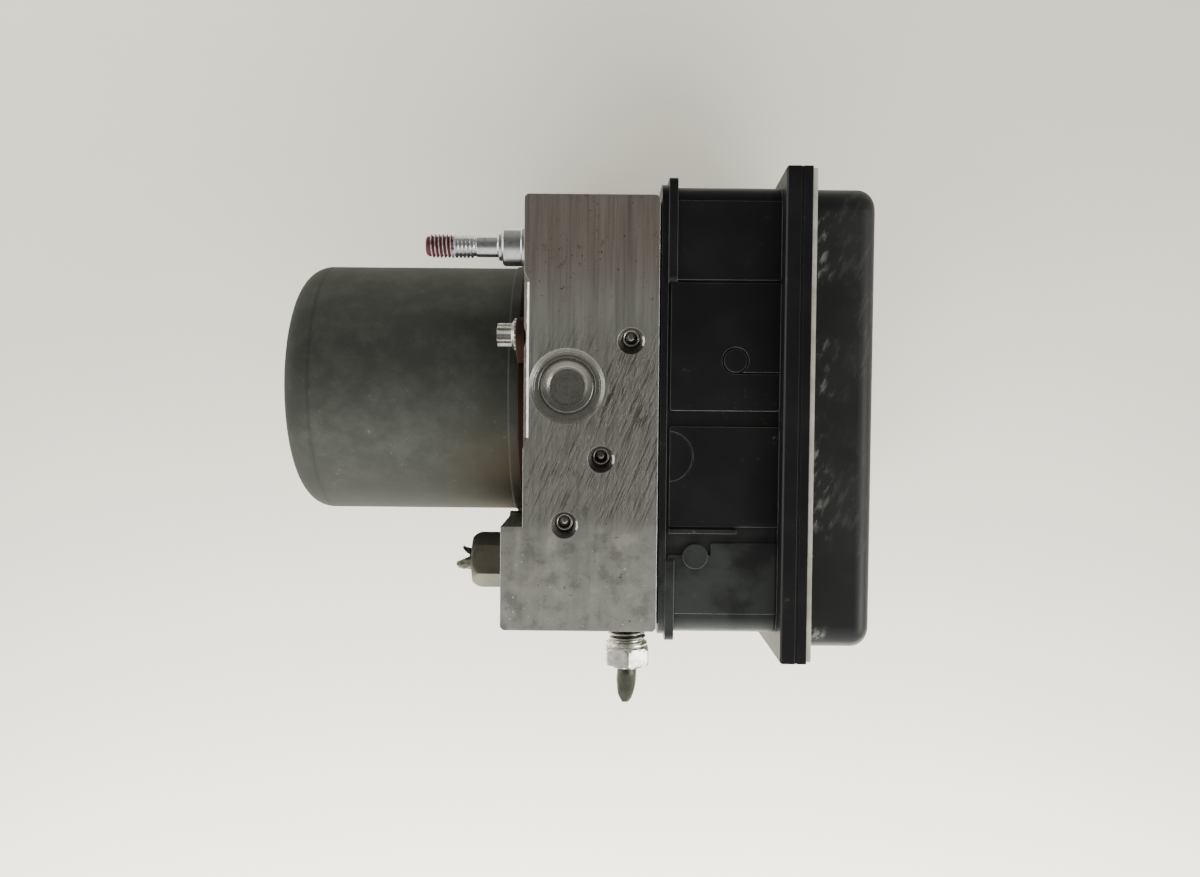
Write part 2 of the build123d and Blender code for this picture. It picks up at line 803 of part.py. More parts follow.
# Accumulators: cup pistons on springs under flush caps
accumulator_end = block_top - accumulator_depth
cup_start = accumulator_end + part_gap
cup_radius = accumulator_radius - slide_clearance
cap_floor = block_top - accumulator_cap_thick
for number, side in enumerate(sides, start=1):
    accumulator_spot = (accumulator_inset, side * accumulator_offset)
    with BuildPart() as accumulator_piston:
        with BuildSketch(Plane.XZ.offset(-cup_start)):
            with Locations(accumulator_spot):
                Circle(cup_radius)
        extrude(amount=-accumulator_piston_length)
        with BuildSketch(Plane.XZ.offset(-cup_start - accumulator_floor)):
            with Locations(accumulator_spot):
                Circle(cup_radius - accumulator_wall)
        extrude(amount=-accumulator_piston_length, mode=Mode.SUBTRACT)
        chamfer(accumulator_piston.edges().group_by(Axis.Y)[0], length=edge_break)
    save(accumulator_piston.part, f"accumulator_piston_{number}")

    with BuildPart() as accumulator_spring:
        wire_start = cup_start + accumulator_floor + face_gap + accumulator_wire_radius
        wire_end = cap_floor - face_gap - accumulator_wire_radius
        with BuildLine() as coil_line:
            Helix(
                (wire_end - wire_start) / accumulator_turns,
                wire_end - wire_start,
                cup_radius - accumulator_wall - accumulator_wire_radius - part_gap,
                center=(accumulator_inset, wire_start, side * accumulator_offset),
                direction=(0, 1, 0),
            )
        with BuildSketch(Plane(origin=coil_line.line @ 0, z_dir=coil_line.line % 0)):
            Rectangle(2 * accumulator_wire_radius, 2 * accumulator_wire_radius)
        sweep(is_frenet=True)
    save(accumulator_spring.part, f"accumulator_spring_{number}")

    with BuildPart() as accumulator_cap:
        with BuildSketch(Plane.XZ.offset(-cap_floor)):
            with Locations(accumulator_spot):
                Circle(accumulator_radius)
        extrude(amount=-accumulator_cap_thick + face_gap)
        with BuildSketch(Plane.XZ.offset(-block_top + face_gap)):
            with Locations(accumulator_spot):
                Circle(accumulator_radius - accumulator_wall)
        extrude(amount=accumulator_cap_sink, mode=Mode.SUBTRACT)
    save(accumulator_cap.part, f"accumulator_cap_{number}")

# Steel plugs pressed into the drillings of the block's upper end
plug_seat = block_half_height - ball_bore_depth + slide_clearance
with BuildPart() as ball_plugs:
    with BuildSketch(Plane.XY.offset(plug_seat)):
        with Locations(*[(depth, motor_y + rise) for depth, rise in ball_places]):
            Circle(ball_radius)
    extrude(amount=ball_radius)
    with BuildSketch(Plane.XY.offset(plug_seat + ball_radius)):
        with Locations(*[(depth, motor_y + rise) for depth, rise in ball_places]):
            Circle(ball_radius)
    extrude(amount=ball_radius / 2, taper=half_right_angle)
save(ball_plugs.part, "ball_plugs")

# Solenoid valves: a body in its bore, a thin dome that passes through its coil, a free plunger
valve_start = block_depth - valve_depth + face_gap
dome_outer = plunger_radius + slide_clearance + dome_wall
plunger_start = block_depth + dome_wall + plunger_travel + slide_clearance
for row, row_y in valve_rows.items():
    for number, height in enumerate(valve_heights, start=1):
        valve_axis = Axis((0, row_y, height), (1, 0, 0))
        with BuildPart() as valve:
            with BuildSketch(Plane.XY.offset(height)):
                with BuildLine():
                    Polyline(
                        (valve_start, row_y),
                        (valve_start, row_y + valve_radius - slide_clearance),
                        (block_depth, row_y + valve_radius - slide_clearance),
                        (block_depth, row_y + dome_outer),
                        (block_depth + dome_length, row_y + dome_outer),
                        (block_depth + dome_length, row_y),
                        close=True,
                    )
                make_face()
            revolve(axis=valve_axis)
            with BuildSketch(Plane.YZ.offset(plunger_start - plunger_travel - slide_clearance)):
                with Locations((row_y, height)):
                    Circle(plunger_radius + slide_clearance)
            room = plunger_length + 2 * plunger_travel + 2 * slide_clearance
            extrude(amount=room, mode=Mode.SUBTRACT)
        save(valve.part, f"{row}_valve_{number}")

        with BuildPart() as plunger:
            with BuildSketch(Plane.YZ.offset(plunger_start)):
                with Locations((row_y, height)):
                    Circle(plunger_radius)
            extrude(amount=plunger_length)
        save(plunger.part, f"{row}_plunger_{number}")

# Coils stand on the housing floor, each with two pins up to the board
with BuildPart() as valve_coils:
    coil_spots = [(y, z) for y in valve_rows.values() for z in valve_heights]
    with BuildSketch(Plane.YZ.offset(coil_start)):
        with Locations(*coil_spots):
            Circle(coil_radius)
            Circle(dome_outer + part_gap, mode=Mode.SUBTRACT)
    extrude(amount=coil_length)
    with BuildSketch(Plane.YZ.offset(coil_start + coil_length)):
        coil_pin_reach = (coil_radius + dome_outer) / 2
        for coil_y, coil_z in coil_spots:
            with Locations((coil_y, coil_z + coil_pin_reach), (coil_y, coil_z - coil_pin_reach)):
                Rectangle(dome_wall, dome_wall)
    extrude(amount=board_gap)
save(valve_coils.part, "valve_coils")

# Mounting studs, turned in one piece each
with BuildPart() as mounting_studs:
    shank_start = -stud_washer_thick - stud_collar_length - stud_ring_length
    thread_start = shank_start - stud_shank_length
    thread_end = thread_start - stud_thread_length
    for stud_y, stud_z in stud_spots:
        with BuildSketch(Plane.XY.offset(stud_z)):
            with BuildLine():
                Polyline(
                    (stud_root, stud_y),
                    (stud_root, stud_y + stud_radius),
                    (0, stud_y + stud_radius),
                    (0, stud_y + stud_washer_radius),
                    (-stud_washer_thick, stud_y + stud_washer_radius),
                    (-stud_washer_thick, stud_y + stud_collar_radius),
                    (shank_start + stud_ring_length, stud_y + stud_collar_radius),
                    (shank_start + stud_ring_length, stud_y + stud_ring_radius),
                    (shank_start, stud_y + stud_ring_radius),
                    (shank_start, stud_y + stud_shank_radius),
                    (thread_start, stud_y + stud_shank_radius),
                    (thread_start, stud_y + stud_radius),
                    (thread_end + edge_break, stud_y + stud_radius),
                    (thread_end, stud_y + stud_radius - edge_break),
                    (thread_end, stud_y),
                    close=True,
                )
            make_face()
        revolve(axis=Axis((0, stud_y, stud_z), (1, 0, 0)))
save(mounting_studs.part, "mounting_studs")

# Flare nut left in the upper wheel port: thread, round collar and hexagon around the pipe
outlet_z = valve_outer
with BuildPart() as outlet_pipe_nut:
    collar_start = block_bottom - outlet_nut_thread_shown
    hex_start = collar_start - outlet_nut_collar
    hex_end = hex_start - outlet_nut_hex
    hex_radius = outlet_nut_flats / 2
    outlet_thread_end = block_bottom + outlet_depth - 2 * edge_break
    with BuildSketch(Plane.XZ.offset(-hex_start)):
        with Locations((outlet_inset, outlet_z)):
            RegularPolygon(hex_radius, nut_sides, major_radius=False, rotation=outlet_nut_turn)
    extrude(amount=outlet_nut_hex)
    with BuildSketch(Plane.XY.offset(outlet_z)):
        with BuildLine():
            Polyline(
                (outlet_inset, hex_start),
                (outlet_inset + hex_radius, hex_start),
                (outlet_inset + hex_radius * nut_corner, hex_start - edge_break),
                (outlet_inset + hex_radius * nut_corner, hex_end + edge_break),
                (outlet_inset + hex_radius, hex_end),
                (outlet_inset, hex_end),
                close=True,
            )
        make_face()
    revolve(axis=Axis((outlet_inset, 0, outlet_z), (0, 1, 0)), mode=Mode.INTERSECT)
    with BuildSketch(Plane.XY.offset(outlet_z)):
        with BuildLine():
            Polyline(
                (outlet_inset, hex_start),
                (outlet_inset, outlet_thread_end),
                (outlet_inset + outlet_radius - slide_clearance, outlet_thread_end),
                (outlet_inset + outlet_radius - slide_clearance, collar_start),
                (outlet_inset + outlet_nut_collar_radius, (collar_start + hex_start) / 2),
                (outlet_inset + outlet_nut_collar_radius, hex_start),
                close=True,
            )
        make_face()
    revolve(axis=Axis((outlet_inset, 0, outlet_z), (0, 1, 0)))
    with BuildSketch(Plane.XZ.offset(-hex_end)):
        with Locations((outlet_inset, outlet_z)):
            Circle(outlet_pipe_radius + slide_clearance)
    extrude(amount=-2 * block_depth, mode=Mode.SUBTRACT)
save(outlet_pipe_nut.part, "outlet_pipe_nut")

# The pipe end below that nut, pinched shut and torn off
with BuildPart() as outlet_pipe_stub:
    pipe_top = outlet_thread_end
    pinch_start = hex_end - outlet_pipe_shown * pinch_share
    pinch_end = hex_end - outlet_pipe_shown
    with BuildSketch(Plane.XZ.offset(-pipe_top)):
        with Locations((outlet_inset, outlet_z)):
            Circle(outlet_pipe_radius)
    extrude(amount=pipe_top - pinch_start)
    with BuildSketch(Plane.XZ.offset(-pinch_start)):
        with Locations((outlet_inset, outlet_z)):
            Circle(outlet_pipe_radius)
    with BuildSketch(Plane.XZ.offset(-(pinch_start + pinch_end) / 2)):
        with Locations((outlet_inset - pinch_middle_shift, outlet_z)):
            Ellipse(outlet_pipe_radius * pinch_middle[0], outlet_pipe_radius * pinch_middle[1])
    with BuildSketch(Plane.XZ.offset(-pinch_end)):
        with Locations((outlet_inset - pinch_tip_shift, outlet_z)):
            Ellipse(outlet_pipe_radius * pinch_tip[0], outlet_pipe_radius * pinch_tip[1])
    loft()
    with BuildSketch(Plane.XZ.offset(-pipe_top)):
        with Locations((outlet_inset, outlet_z)):
            Circle(outlet_pipe_radius * pipe_bore_share)
    extrude(amount=pipe_top - pinch_start, mode=Mode.SUBTRACT)
save(outlet_pipe_stub.part, "outlet_pipe_stub")

# Larger nut left in the upper port of the step, with its torn pipe
with BuildPart() as inlet_pipe_nut:
    inlet_hex_end = -step_depth - inlet_nut_hex
    inlet_thread_end = -step_depth + inlet_depth - 2 * edge_break
    inlet_hex_radius = inlet_nut_flats / 2
    with BuildSketch(motor_face.offset(-step_depth)):
        with Locations(inlet_spots[0]):
            RegularPolygon(
                inlet_hex_radius, nut_sides, major_radius=False, rotation=inlet_nut_turn
            )
    extrude(amount=-inlet_nut_hex)
    with BuildSketch(Plane.XY.offset(inlet_offset)):
        with BuildLine():
            Polyline(
                (-step_depth, inlet_y),
                (-step_depth, inlet_y + inlet_hex_radius),
                (-step_depth - edge_break, inlet_y + inlet_hex_radius * nut_corner),
                (inlet_hex_end + edge_break, inlet_y + inlet_hex_radius * nut_corner),
                (inlet_hex_end, inlet_y + inlet_hex_radius),
                (inlet_hex_end, inlet_y),
                close=True,
            )
        make_face()
    revolve(axis=Axis((0, inlet_y, inlet_offset), (1, 0, 0)), mode=Mode.INTERSECT)
    with BuildSketch(motor_face.offset(-step_depth)):
        with Locations(inlet_spots[0]):
            Circle(inlet_radius - slide_clearance)
    extrude(amount=inlet_thread_end + step_depth)
    with BuildSketch(motor_face.offset(inlet_hex_end)):
        with Locations(inlet_spots[0]):
            Circle(inlet_pipe_radius + slide_clearance)
    extrude(amount=2 * block_depth, mode=Mode.SUBTRACT)
save(inlet_pipe_nut.part, "inlet_pipe_nut")

with BuildPart() as inlet_pipe_stub:
    torn_start = inlet_hex_end - inlet_pipe_shown * torn_share
    torn_end = inlet_hex_end - inlet_pipe_shown
    with BuildSketch(motor_face.offset(inlet_thread_end)):
        with Locations(inlet_spots[0]):
            Circle(inlet_pipe_radius)
    extrude(amount=torn_start - inlet_thread_end)
    with BuildSketch(motor_face.offset(torn_start)):
        with Locations(inlet_spots[0]):
            Circle(inlet_pipe_radius)
    with BuildSketch(motor_face.offset(torn_end)):
        with Locations((inlet_y - torn_tip_shift, inlet_offset)):
            Ellipse(inlet_pipe_radius * torn_tip[0], inlet_pipe_radius * torn_tip[1])
    loft()
    with BuildSketch(motor_face.offset(inlet_thread_end)):
        with Locations(inlet_spots[0]):
            Circle(inlet_pipe_radius * pipe_bore_share)
    extrude(amount=torn_start - inlet_thread_end, mode=Mode.SUBTRACT)
save(inlet_pipe_stub.part, "inlet_pipe_stub")

# Gasket between the block and the control unit
with BuildPart() as housing_gasket:
    with BuildSketch(unit_face):
        rectangle_between(
            block_bottom + gasket_edge,
            block_top - gasket_edge,
            -block_half_height + gasket_edge,
            housing_top - gasket_edge,
            housing_corner,
        )
        with Locations(((block_bottom + block_top) / 2, (housing_top - block_half_height) / 2)):
            RectangleRounded(
                block_length - 2 * (gasket_edge + gasket_width),
                block_half_height + housing_top - 2 * (gasket_edge + gasket_width),
                housing_corner,
                mode=Mode.SUBTRACT,
            )
    extrude(amount=gasket_thick)
save(housing_gasket.part, "housing_gasket")

# Control unit housing: a moulded tub with a broad flange, and a plug shroud below the block
shroud_start = unit_start - shroud_reach
shroud_high_z = -block_half_height - shroud_gap
shroud_low_z = shroud_high_z - shroud_height
shroud_high_y = motor_y + shroud_rise
shroud_low_y = shroud_high_y - shroud_length
shroud_middle = ((shroud_high_y + shroud_low_y) / 2, (shroud_high_z + shroud_low_z) / 2)
web_start = unit_start - shroud_floor_depth
fin_start = unit_start + rim_thick
panel_start = fin_start + panel_gap
panel_middle_x = (panel_start + housing_end) / 2
cavity_high_y = housing_high_y - housing_wall
cavity_low_y = housing_low_y + housing_wall
cavity_high_z = housing_top - housing_wall
cavity_low_z = housing_low_z + housing_wall
cavity_corner = housing_corner / 2
pin_spots = [
    (
        shroud_middle[0] + pin_shift + pin_pitch * (column - (pin_columns - 1) / 2),
        shroud_middle[1] + 2 * pin_pitch * (row - (pin_rows - 1) / 2),
    )
    for column in range(pin_columns)
    for row in range(pin_rows)
]
blade_spots = [
    (shroud_low_y + blade_edge, shroud_middle[1] + blade_pitch * (index - (blade_count - 1) / 2))
    for index in range(blade_count)
]
post_spots = [
    (y, z)
    for y, high_z in (
        (cavity_high_y - post_radius, cavity_high_z - post_inset),
        (cavity_low_y + post_radius, cavity_high_z - post_radius),
    )
    for z in (high_z, -block_half_height, cavity_low_z + post_radius)
]
flange_outline = [
    (flange_low_y, flange_low_z),
    (flange_high_y + flange_ear_rise, flange_low_z),
    (flange_high_y, flange_low_z + flange_ear_length),
    (flange_high_y, flange_high_z - flange_ear_length),
    (flange_high_y + flange_ear_rise, flange_high_z),
    (flange_low_y, flange_high_z),
]
pocket_room = (panel_start + pocket_reach / 2, motor_y + pocket_top - pocket_length / 2)

with BuildPart() as ecu_housing:
    with BuildSketch(Plane.YZ.offset(housing_end)):
        with BuildLine():
            Polyline(*flange_outline, close=True)
        make_face()
    extrude(amount=flange_depth)
    chamfer(ecu_housing.faces().sort_by(Axis.X)[0].edges(), length=flange_bevel)
    # Groove around the flange's edge
    with BuildSketch(Plane.YZ.offset(flange_end - flange_groove_inset)):
        with BuildLine():
            Polyline(*flange_outline, close=True)
        make_face()
        with BuildLine():
            Polyline(*flange_outline, close=True)
            offset(amount=-flange_groove, mode=Mode.REPLACE)
        make_face(mode=Mode.SUBTRACT)
    extrude(amount=-flange_groove, mode=Mode.SUBTRACT)
    with BuildSketch(Plane.YZ.offset(unit_start)):
        rectangle_between(housing_low_y, housing_high_y, housing_low_z, housing_top, housing_corner)
    extrude(amount=housing_depth)
    with BuildSketch(Plane.YZ.offset(unit_start)):
        rectangle_between(
            housing_low_y - rim_lip,
            housing_high_y + rim_lip,
            housing_low_z - rim_lip,
            housing_top + rim_lip,
            housing_corner + rim_lip,
        )
    extrude(amount=rim_thick)
    # Locating fin behind the rim, at both ends of the upper side
    with BuildSketch(Plane.YZ.offset(fin_start)):
        fin_low_z = housing_top - fin_high_reach
        rectangle_between(
            housing_high_y - fin_high_reach,
            housing_high_y + fin_rise,
            fin_low_z,
            housing_top + fin_foot,
            fin_foot,
        )
        rectangle_between(
            housing_low_y - fin_rise,
            housing_low_y + fin_low_reach,
            fin_low_z,
            housing_top + fin_foot / 2,
            fin_foot,
        )
    extrude(amount=fin_thick)
    # Raised panels, bar and round boss of the upper side
    with BuildSketch(Plane.XY.offset(housing_top)):
        panel_width = housing_end - panel_start
        panel_1_length = housing_high_y - housing_corner - motor_y - panel_2_top - panel_gap
        for panel_top, panel_length in (
            (housing_high_y - housing_corner, panel_1_length),
            (motor_y + panel_2_top, panel_2_length),
            (motor_y + panel_3_top, panel_3_length),
            (motor_y + panel_4_top, panel_4_length),
        ):
            with Locations((panel_middle_x, panel_top - panel_length / 2)):
                RectangleRounded(panel_width, panel_length, panel_proud)
    extrude(amount=panel_proud)
    with BuildSketch(Plane.XY.offset(housing_top)):
        with Locations(pocket_room):
            Rectangle(pocket_reach, pocket_length)
    extrude(amount=panel_proud, mode=Mode.SUBTRACT)
    with BuildSketch(Plane.XY.offset(housing_top)):
        with Locations((panel_start + bar_reach / 2, motor_y + bar_top - bar_width / 2)):
            Rectangle(bar_reach, bar_width)
        with Locations((panel_start + round_boss_inset, motor_y + round_boss_rise)):
            Circle(round_boss_radius)
    extrude(amount=2 * panel_proud)
    # Engraved marks in the panels
    with BuildSketch(Plane.XY.offset(housing_top + panel_proud)):
        key_x = housing_end - key_mark_inset
        key_y = motor_y + key_mark_rise
        with Locations((key_x, key_y)):
            Circle(key_mark_radius)
            Circle(key_mark_radius - mark_line, mode=Mode.SUBTRACT)
        with Locations(((key_x + housing_end) / 2, key_y - key_mark_radius + mark_line / 2)):
            Rectangle(housing_end - key_x, mark_line)
    extrude(amount=-panel_proud, mode=Mode.SUBTRACT)
    with BuildSketch(Plane.XY.offset(housing_top + panel_proud)):
        with Locations((panel_start - mark_line, motor_y + half_mark_rise)):
            Circle(half_mark_radius)
            Circle(half_mark_radius - mark_line / 2, mode=Mode.SUBTRACT)
        with Locations((panel_start - half_mark_radius, motor_y + half_mark_rise)):
            Rectangle(2 * half_mark_radius, 2 * half_mark_radius, mode=Mode.SUBTRACT)
    extrude(amount=-panel_proud / 2, mode=Mode.SUBTRACT)
    # Plug shroud with a beaded mouth and a catch on each side
    with BuildSketch(Plane.YZ.offset(unit_start + housing_floor)):
        with Locations(shroud_middle):
            RectangleRounded(shroud_length, shroud_height, shroud_corner)
    extrude(amount=-shroud_reach - housing_floor)
    with BuildSketch(Plane.YZ.offset(shroud_start)):
        with Locations(shroud_middle):
            RectangleRounded(
                shroud_length + 2 * rim_lip, shroud_height + 2 * rim_lip, shroud_corner + rim_lip
            )
    extrude(amount=2 * rim_thick)
    for side in sides:
        catch_y = shroud_middle[0] + side * shroud_length / 2
        with BuildSketch(Plane(origin=(0, catch_y, 0), x_dir=(1, 0, 0), z_dir=(0, side, 0))):
            with Locations((shroud_start + catch_back, -side * shroud_middle[1])):
                Circle(catch_radius)
        extrude(amount=catch_height)
    # Hollow of the tub, with posts for the board left standing on its floor
    with BuildSketch(Plane.YZ.offset(unit_start + housing_floor)):
        rectangle_between(cavity_low_y, cavity_high_y, cavity_low_z, cavity_high_z, cavity_corner)
    extrude(amount=board_start - unit_start - housing_floor, mode=Mode.SUBTRACT)
    with BuildSketch(Plane.YZ.offset(unit_start + housing_floor)):
        with Locations(*post_spots):
            Rectangle(2 * post_radius, 2 * post_radius)
    extrude(amount=board_start - unit_start - housing_floor)
    with BuildSketch(Plane.YZ.offset(board_start)):
        rectangle_between(cavity_low_y, cavity_high_y, cavity_low_z, cavity_high_z, cavity_corner)
    extrude(amount=flange_end - board_start, mode=Mode.SUBTRACT)
    # Hollow of the shroud on both sides of its web
    with BuildSketch(Plane.YZ.offset(shroud_start)):
        with Locations(shroud_middle):
            RectangleRounded(
                shroud_length - 2 * shroud_wall,
                shroud_height - 2 * shroud_wall,
                shroud_corner - shroud_wall,
            )
    extrude(amount=web_start - shroud_start, mode=Mode.SUBTRACT)
    with BuildSketch(Plane.YZ.offset(web_start + housing_floor)):
        rectangle_between(
            shroud_low_y + shroud_wall,
            shroud_high_y - shroud_wall,
            cavity_low_z + shroud_wall,
            shroud_high_z - shroud_wall,
            shroud_corner - shroud_wall,
        )
    extrude(amount=shroud_floor_depth, mode=Mode.SUBTRACT)
    with BuildSketch(Plane.YZ.offset(web_start)):
        with Locations(*pin_spots):
            Rectangle(pin_size, pin_size)
        with Locations(*blade_spots):
            Rectangle(blade_width, blade_thick)
    extrude(amount=housing_floor, mode=Mode.SUBTRACT)
    # Keys along the shroud's upper wall
    for side in sides:
        key_middle = shroud_middle[0] + side * key_spread
        with Locations(
            (
                (shroud_start + web_start) / 2,
                key_middle,
                shroud_high_z - shroud_wall - rim_thick / 2,
            )
        ):
            Box(web_start - shroud_start, rim_thick, rim_thick)
    # Floor openings for the valve domes, the motor terminals and the fixing screws
    with BuildSketch(Plane.YZ.offset(unit_start)):
        dome_room = 2 * (dome_outer + part_gap)
        with Locations(*[(y, 0) for y in valve_rows.values()]):
            Rectangle(dome_room, 2 * valve_outer + dome_room)
        with Locations((motor_y + terminal_rise, 0)):
            Rectangle(2 * terminal_bore_radius, 2 * terminal_bore_radius)
        with Locations(*unit_screw_spots):
            Circle(unit_screw_radius + face_gap)
    extrude(amount=housing_floor, mode=Mode.SUBTRACT)
save(ecu_housing.part, "ecu_housing")

with BuildPart() as connector_pins:
    with BuildSketch(Plane.YZ.offset(web_start - pin_length)):
        with Locations(*pin_spots):
            Rectangle(pin_size, pin_size)
        with Locations(*blade_spots):
            Rectangle(blade_width, blade_thick)
    extrude(amount=board_start - web_start + pin_length)
save(connector_pins.part, "connector_pins")

with BuildPart() as circuit_board:
    with BuildSketch(Plane.YZ.offset(board_start)):
        rectangle_between(
            cavity_low_y + board_margin,
            cavity_high_y - board_margin,
            cavity_low_z + board_margin,
            cavity_high_z - board_margin,
            cavity_corner,
        )
    extrude(amount=board_thick)
    with BuildSketch(Plane.YZ.offset(board_start + board_thick)):
        with Locations((motor_y, 0)):
            Rectangle(chip_size, chip_size)
            with GridLocations(2 * chip_size, 2 * chip_size, 3, 3):
                Rectangle(*small_chip)
        with Locations(shroud_middle):
            with GridLocations(chip_size, chip_size, 3, 1):
                Rectangle(chip_size / 2, chip_size / 2)
    extrude(amount=chip_height)
save(circuit_board.part, "circuit_board")

with BuildPart() as ecu_screws:
    with BuildSketch(Plane.YZ.offset(coil_start)):
        with Locations(*unit_screw_spots):
            Circle(unit_screw_radius)
    extrude(amount=-unit_screw_length + 2 * edge_break)
    with BuildSketch(Plane.YZ.offset(coil_start)):
        with Locations(*unit_screw_spots):
            RegularPolygon(unit_screw_head_radius, nut_sides)
    extrude(amount=unit_screw_head_height)
save(ecu_screws.part, "ecu_screws")

# Pale seal frame between the flange and the cover, then the cover itself
cover_start = flange_end + seal_thick
with BuildPart() as cover_seal:
    with BuildSketch(Plane.YZ.offset(flange_end)):
        with BuildLine():
            Polyline(*flange_outline, close=True)
            offset(amount=-seal_inset, mode=Mode.REPLACE)
        make_face()
        with Locations(
            ((cavity_low_y + cavity_high_y) / 2, (cavity_low_z + cavity_high_z) / 2)
        ):
            RectangleRounded(
                cavity_high_y - cavity_low_y,
                cavity_high_z - cavity_low_z,
                cavity_corner,
                mode=Mode.SUBTRACT,
            )
    extrude(amount=seal_thick)
save(cover_seal.part, "cover_seal")

cover_low_y = flange_low_y + cover_low_inset
cover_high_y = flange_high_y - cover_high_inset
cover_low_z = flange_low_z + cover_side_inset
cover_high_z = flange_high_z - cover_side_inset
with BuildPart() as ecu_cover:
    with BuildSketch(Plane.YZ.offset(cover_start)):
        rectangle_between(cover_low_y, cover_high_y, cover_low_z, cover_high_z, cover_corner)
    extrude(amount=cover_depth)
    fillet(ecu_cover.faces().sort_by(Axis.X)[-1].edges(), radius=cover_edge_radius)
    with BuildSketch(Plane.YZ.offset(cover_start)):
        rectangle_between(
            cover_low_y + cover_wall,
            cover_high_y - cover_wall,
            cover_low_z + cover_wall,
            cover_high_z - cover_wall,
            cover_corner - cover_wall,
        )
    extrude(amount=cover_depth - cover_wall, mode=Mode.SUBTRACT)
save(ecu_cover.part, "ecu_cover")
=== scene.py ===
import json
import math
import bpy
import bmesh
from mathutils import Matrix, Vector, noise


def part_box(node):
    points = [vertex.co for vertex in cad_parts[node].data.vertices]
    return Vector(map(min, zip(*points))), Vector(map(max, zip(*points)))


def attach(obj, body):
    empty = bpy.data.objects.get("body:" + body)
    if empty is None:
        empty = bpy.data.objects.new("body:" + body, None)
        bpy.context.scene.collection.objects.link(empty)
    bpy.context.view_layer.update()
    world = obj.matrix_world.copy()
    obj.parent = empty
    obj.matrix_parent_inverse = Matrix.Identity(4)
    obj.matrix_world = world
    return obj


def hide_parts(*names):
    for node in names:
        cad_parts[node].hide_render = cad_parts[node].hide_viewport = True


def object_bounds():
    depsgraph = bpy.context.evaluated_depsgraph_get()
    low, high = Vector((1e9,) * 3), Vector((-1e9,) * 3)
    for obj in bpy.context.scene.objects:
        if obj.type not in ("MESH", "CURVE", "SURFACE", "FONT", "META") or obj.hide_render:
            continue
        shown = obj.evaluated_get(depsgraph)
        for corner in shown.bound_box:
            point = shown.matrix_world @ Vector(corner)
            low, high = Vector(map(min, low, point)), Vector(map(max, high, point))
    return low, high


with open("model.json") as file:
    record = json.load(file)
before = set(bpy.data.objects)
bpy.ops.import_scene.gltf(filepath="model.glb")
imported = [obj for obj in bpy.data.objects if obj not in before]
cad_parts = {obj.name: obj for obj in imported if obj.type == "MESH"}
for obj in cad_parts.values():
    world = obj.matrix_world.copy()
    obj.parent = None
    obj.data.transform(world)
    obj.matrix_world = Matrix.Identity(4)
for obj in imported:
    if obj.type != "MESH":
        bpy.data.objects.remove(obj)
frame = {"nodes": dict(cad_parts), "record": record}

# Brake hydraulic unit on a pale table, seen from straight above.
# Lengths in the dictionaries are millimetres, and mm turns them into Blender's metres.
mm = 0.001
fullTurn = 2 * math.pi
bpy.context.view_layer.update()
nodes = frame["nodes"]
record = frame["record"]
print("frame loaded:", len(nodes), "nodes")


def middleOf(node):
    low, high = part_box(node)
    return (low + high) / 2


# Node graphs for the finishes

def startFinish(name, **fixed):
    material = bpy.data.materials.new(name)
    material.use_nodes = True
    shader = material.node_tree.nodes["Principled BSDF"]
    for socketName, value in fixed.items():
        shader.inputs[socketName.replace("_", " ")].default_value = value
    return material, material.node_tree, shader


def addNode(tree, kind, **settings):
    node = tree.nodes.new("ShaderNode" + kind)
    for key, value in settings.items():
        setattr(node, key, value)
    return node


def feed(tree, socket, value):
    # a socket takes either another node's output or a plain value
    if isinstance(value, bpy.types.NodeSocket):
        tree.links.new(value, socket)
    else:
        socket.default_value = value


def wire(tree, shader, colour, roughness, normal):
    feed(tree, shader.inputs["Base Color"], colour)
    feed(tree, shader.inputs["Roughness"], roughness)
    feed(tree, shader.inputs["Normal"], normal)


def partSpace(tree, stretch=(1, 1, 1), turn=0.0):
    # object coordinates, turned about Z and then stretched
    coords = addNode(tree, "TexCoord").outputs["Object"]
    turned = addNode(tree, "VectorRotate", rotation_type="Z_AXIS")
    feed(tree, turned.inputs["Vector"], coords)
    turned.inputs["Angle"].default_value = turn
    scaled = addNode(tree, "VectorMath", operation="MULTIPLY")
    feed(tree, scaled.inputs[0], turned.outputs["Vector"])
    scaled.inputs[1].default_value = stretch
    return scaled.outputs["Vector"]


def cloudIn(tree, space, scale=1.0, detail=4.0, rough=0.6, warp=0.0):
    texture = addNode(tree, "TexNoise")
    feed(tree, texture.inputs["Vector"], space)
    texture.inputs["Scale"].default_value = scale
    texture.inputs["Detail"].default_value = detail
    texture.inputs["Roughness"].default_value = rough
    texture.inputs["Distortion"].default_value = warp
    return texture.outputs[0]


def cloud(tree, scale, detail=4.0, rough=0.6, warp=0.0):
    # noise with round grains
    return cloudIn(tree, partSpace(tree), scale, detail, rough, warp)


def streaked(tree, stretch, detail=4.0, rough=0.6, warp=0.0, turn=0.0):
    # noise drawn out along one axis
    return cloudIn(tree, partSpace(tree, stretch, turn), 1.0, detail, rough, warp)


def dotsIn(tree, scale):
    texture = addNode(tree, "TexVoronoi")
    feed(tree, texture.inputs["Vector"], partSpace(tree))
    texture.inputs["Scale"].default_value = scale
    return texture.outputs["Distance"]


def between(tree, value, low, high, toLow=0.0, toHigh=1.0, smooth=True):
    ranged = addNode(tree, "MapRange", interpolation_type="SMOOTHSTEP" if smooth else "LINEAR")
    feed(tree, ranged.inputs["Value"], value)
    limits = {"From Min": low, "From Max": high, "To Min": toLow, "To Max": toHigh}
    for socketName, number in limits.items():
        ranged.inputs[socketName].default_value = number
    return ranged.outputs["Result"]


def ramp(tree, value, low, high, toLow, toHigh):
    return between(tree, value, low, high, toLow, toHigh, smooth=False)


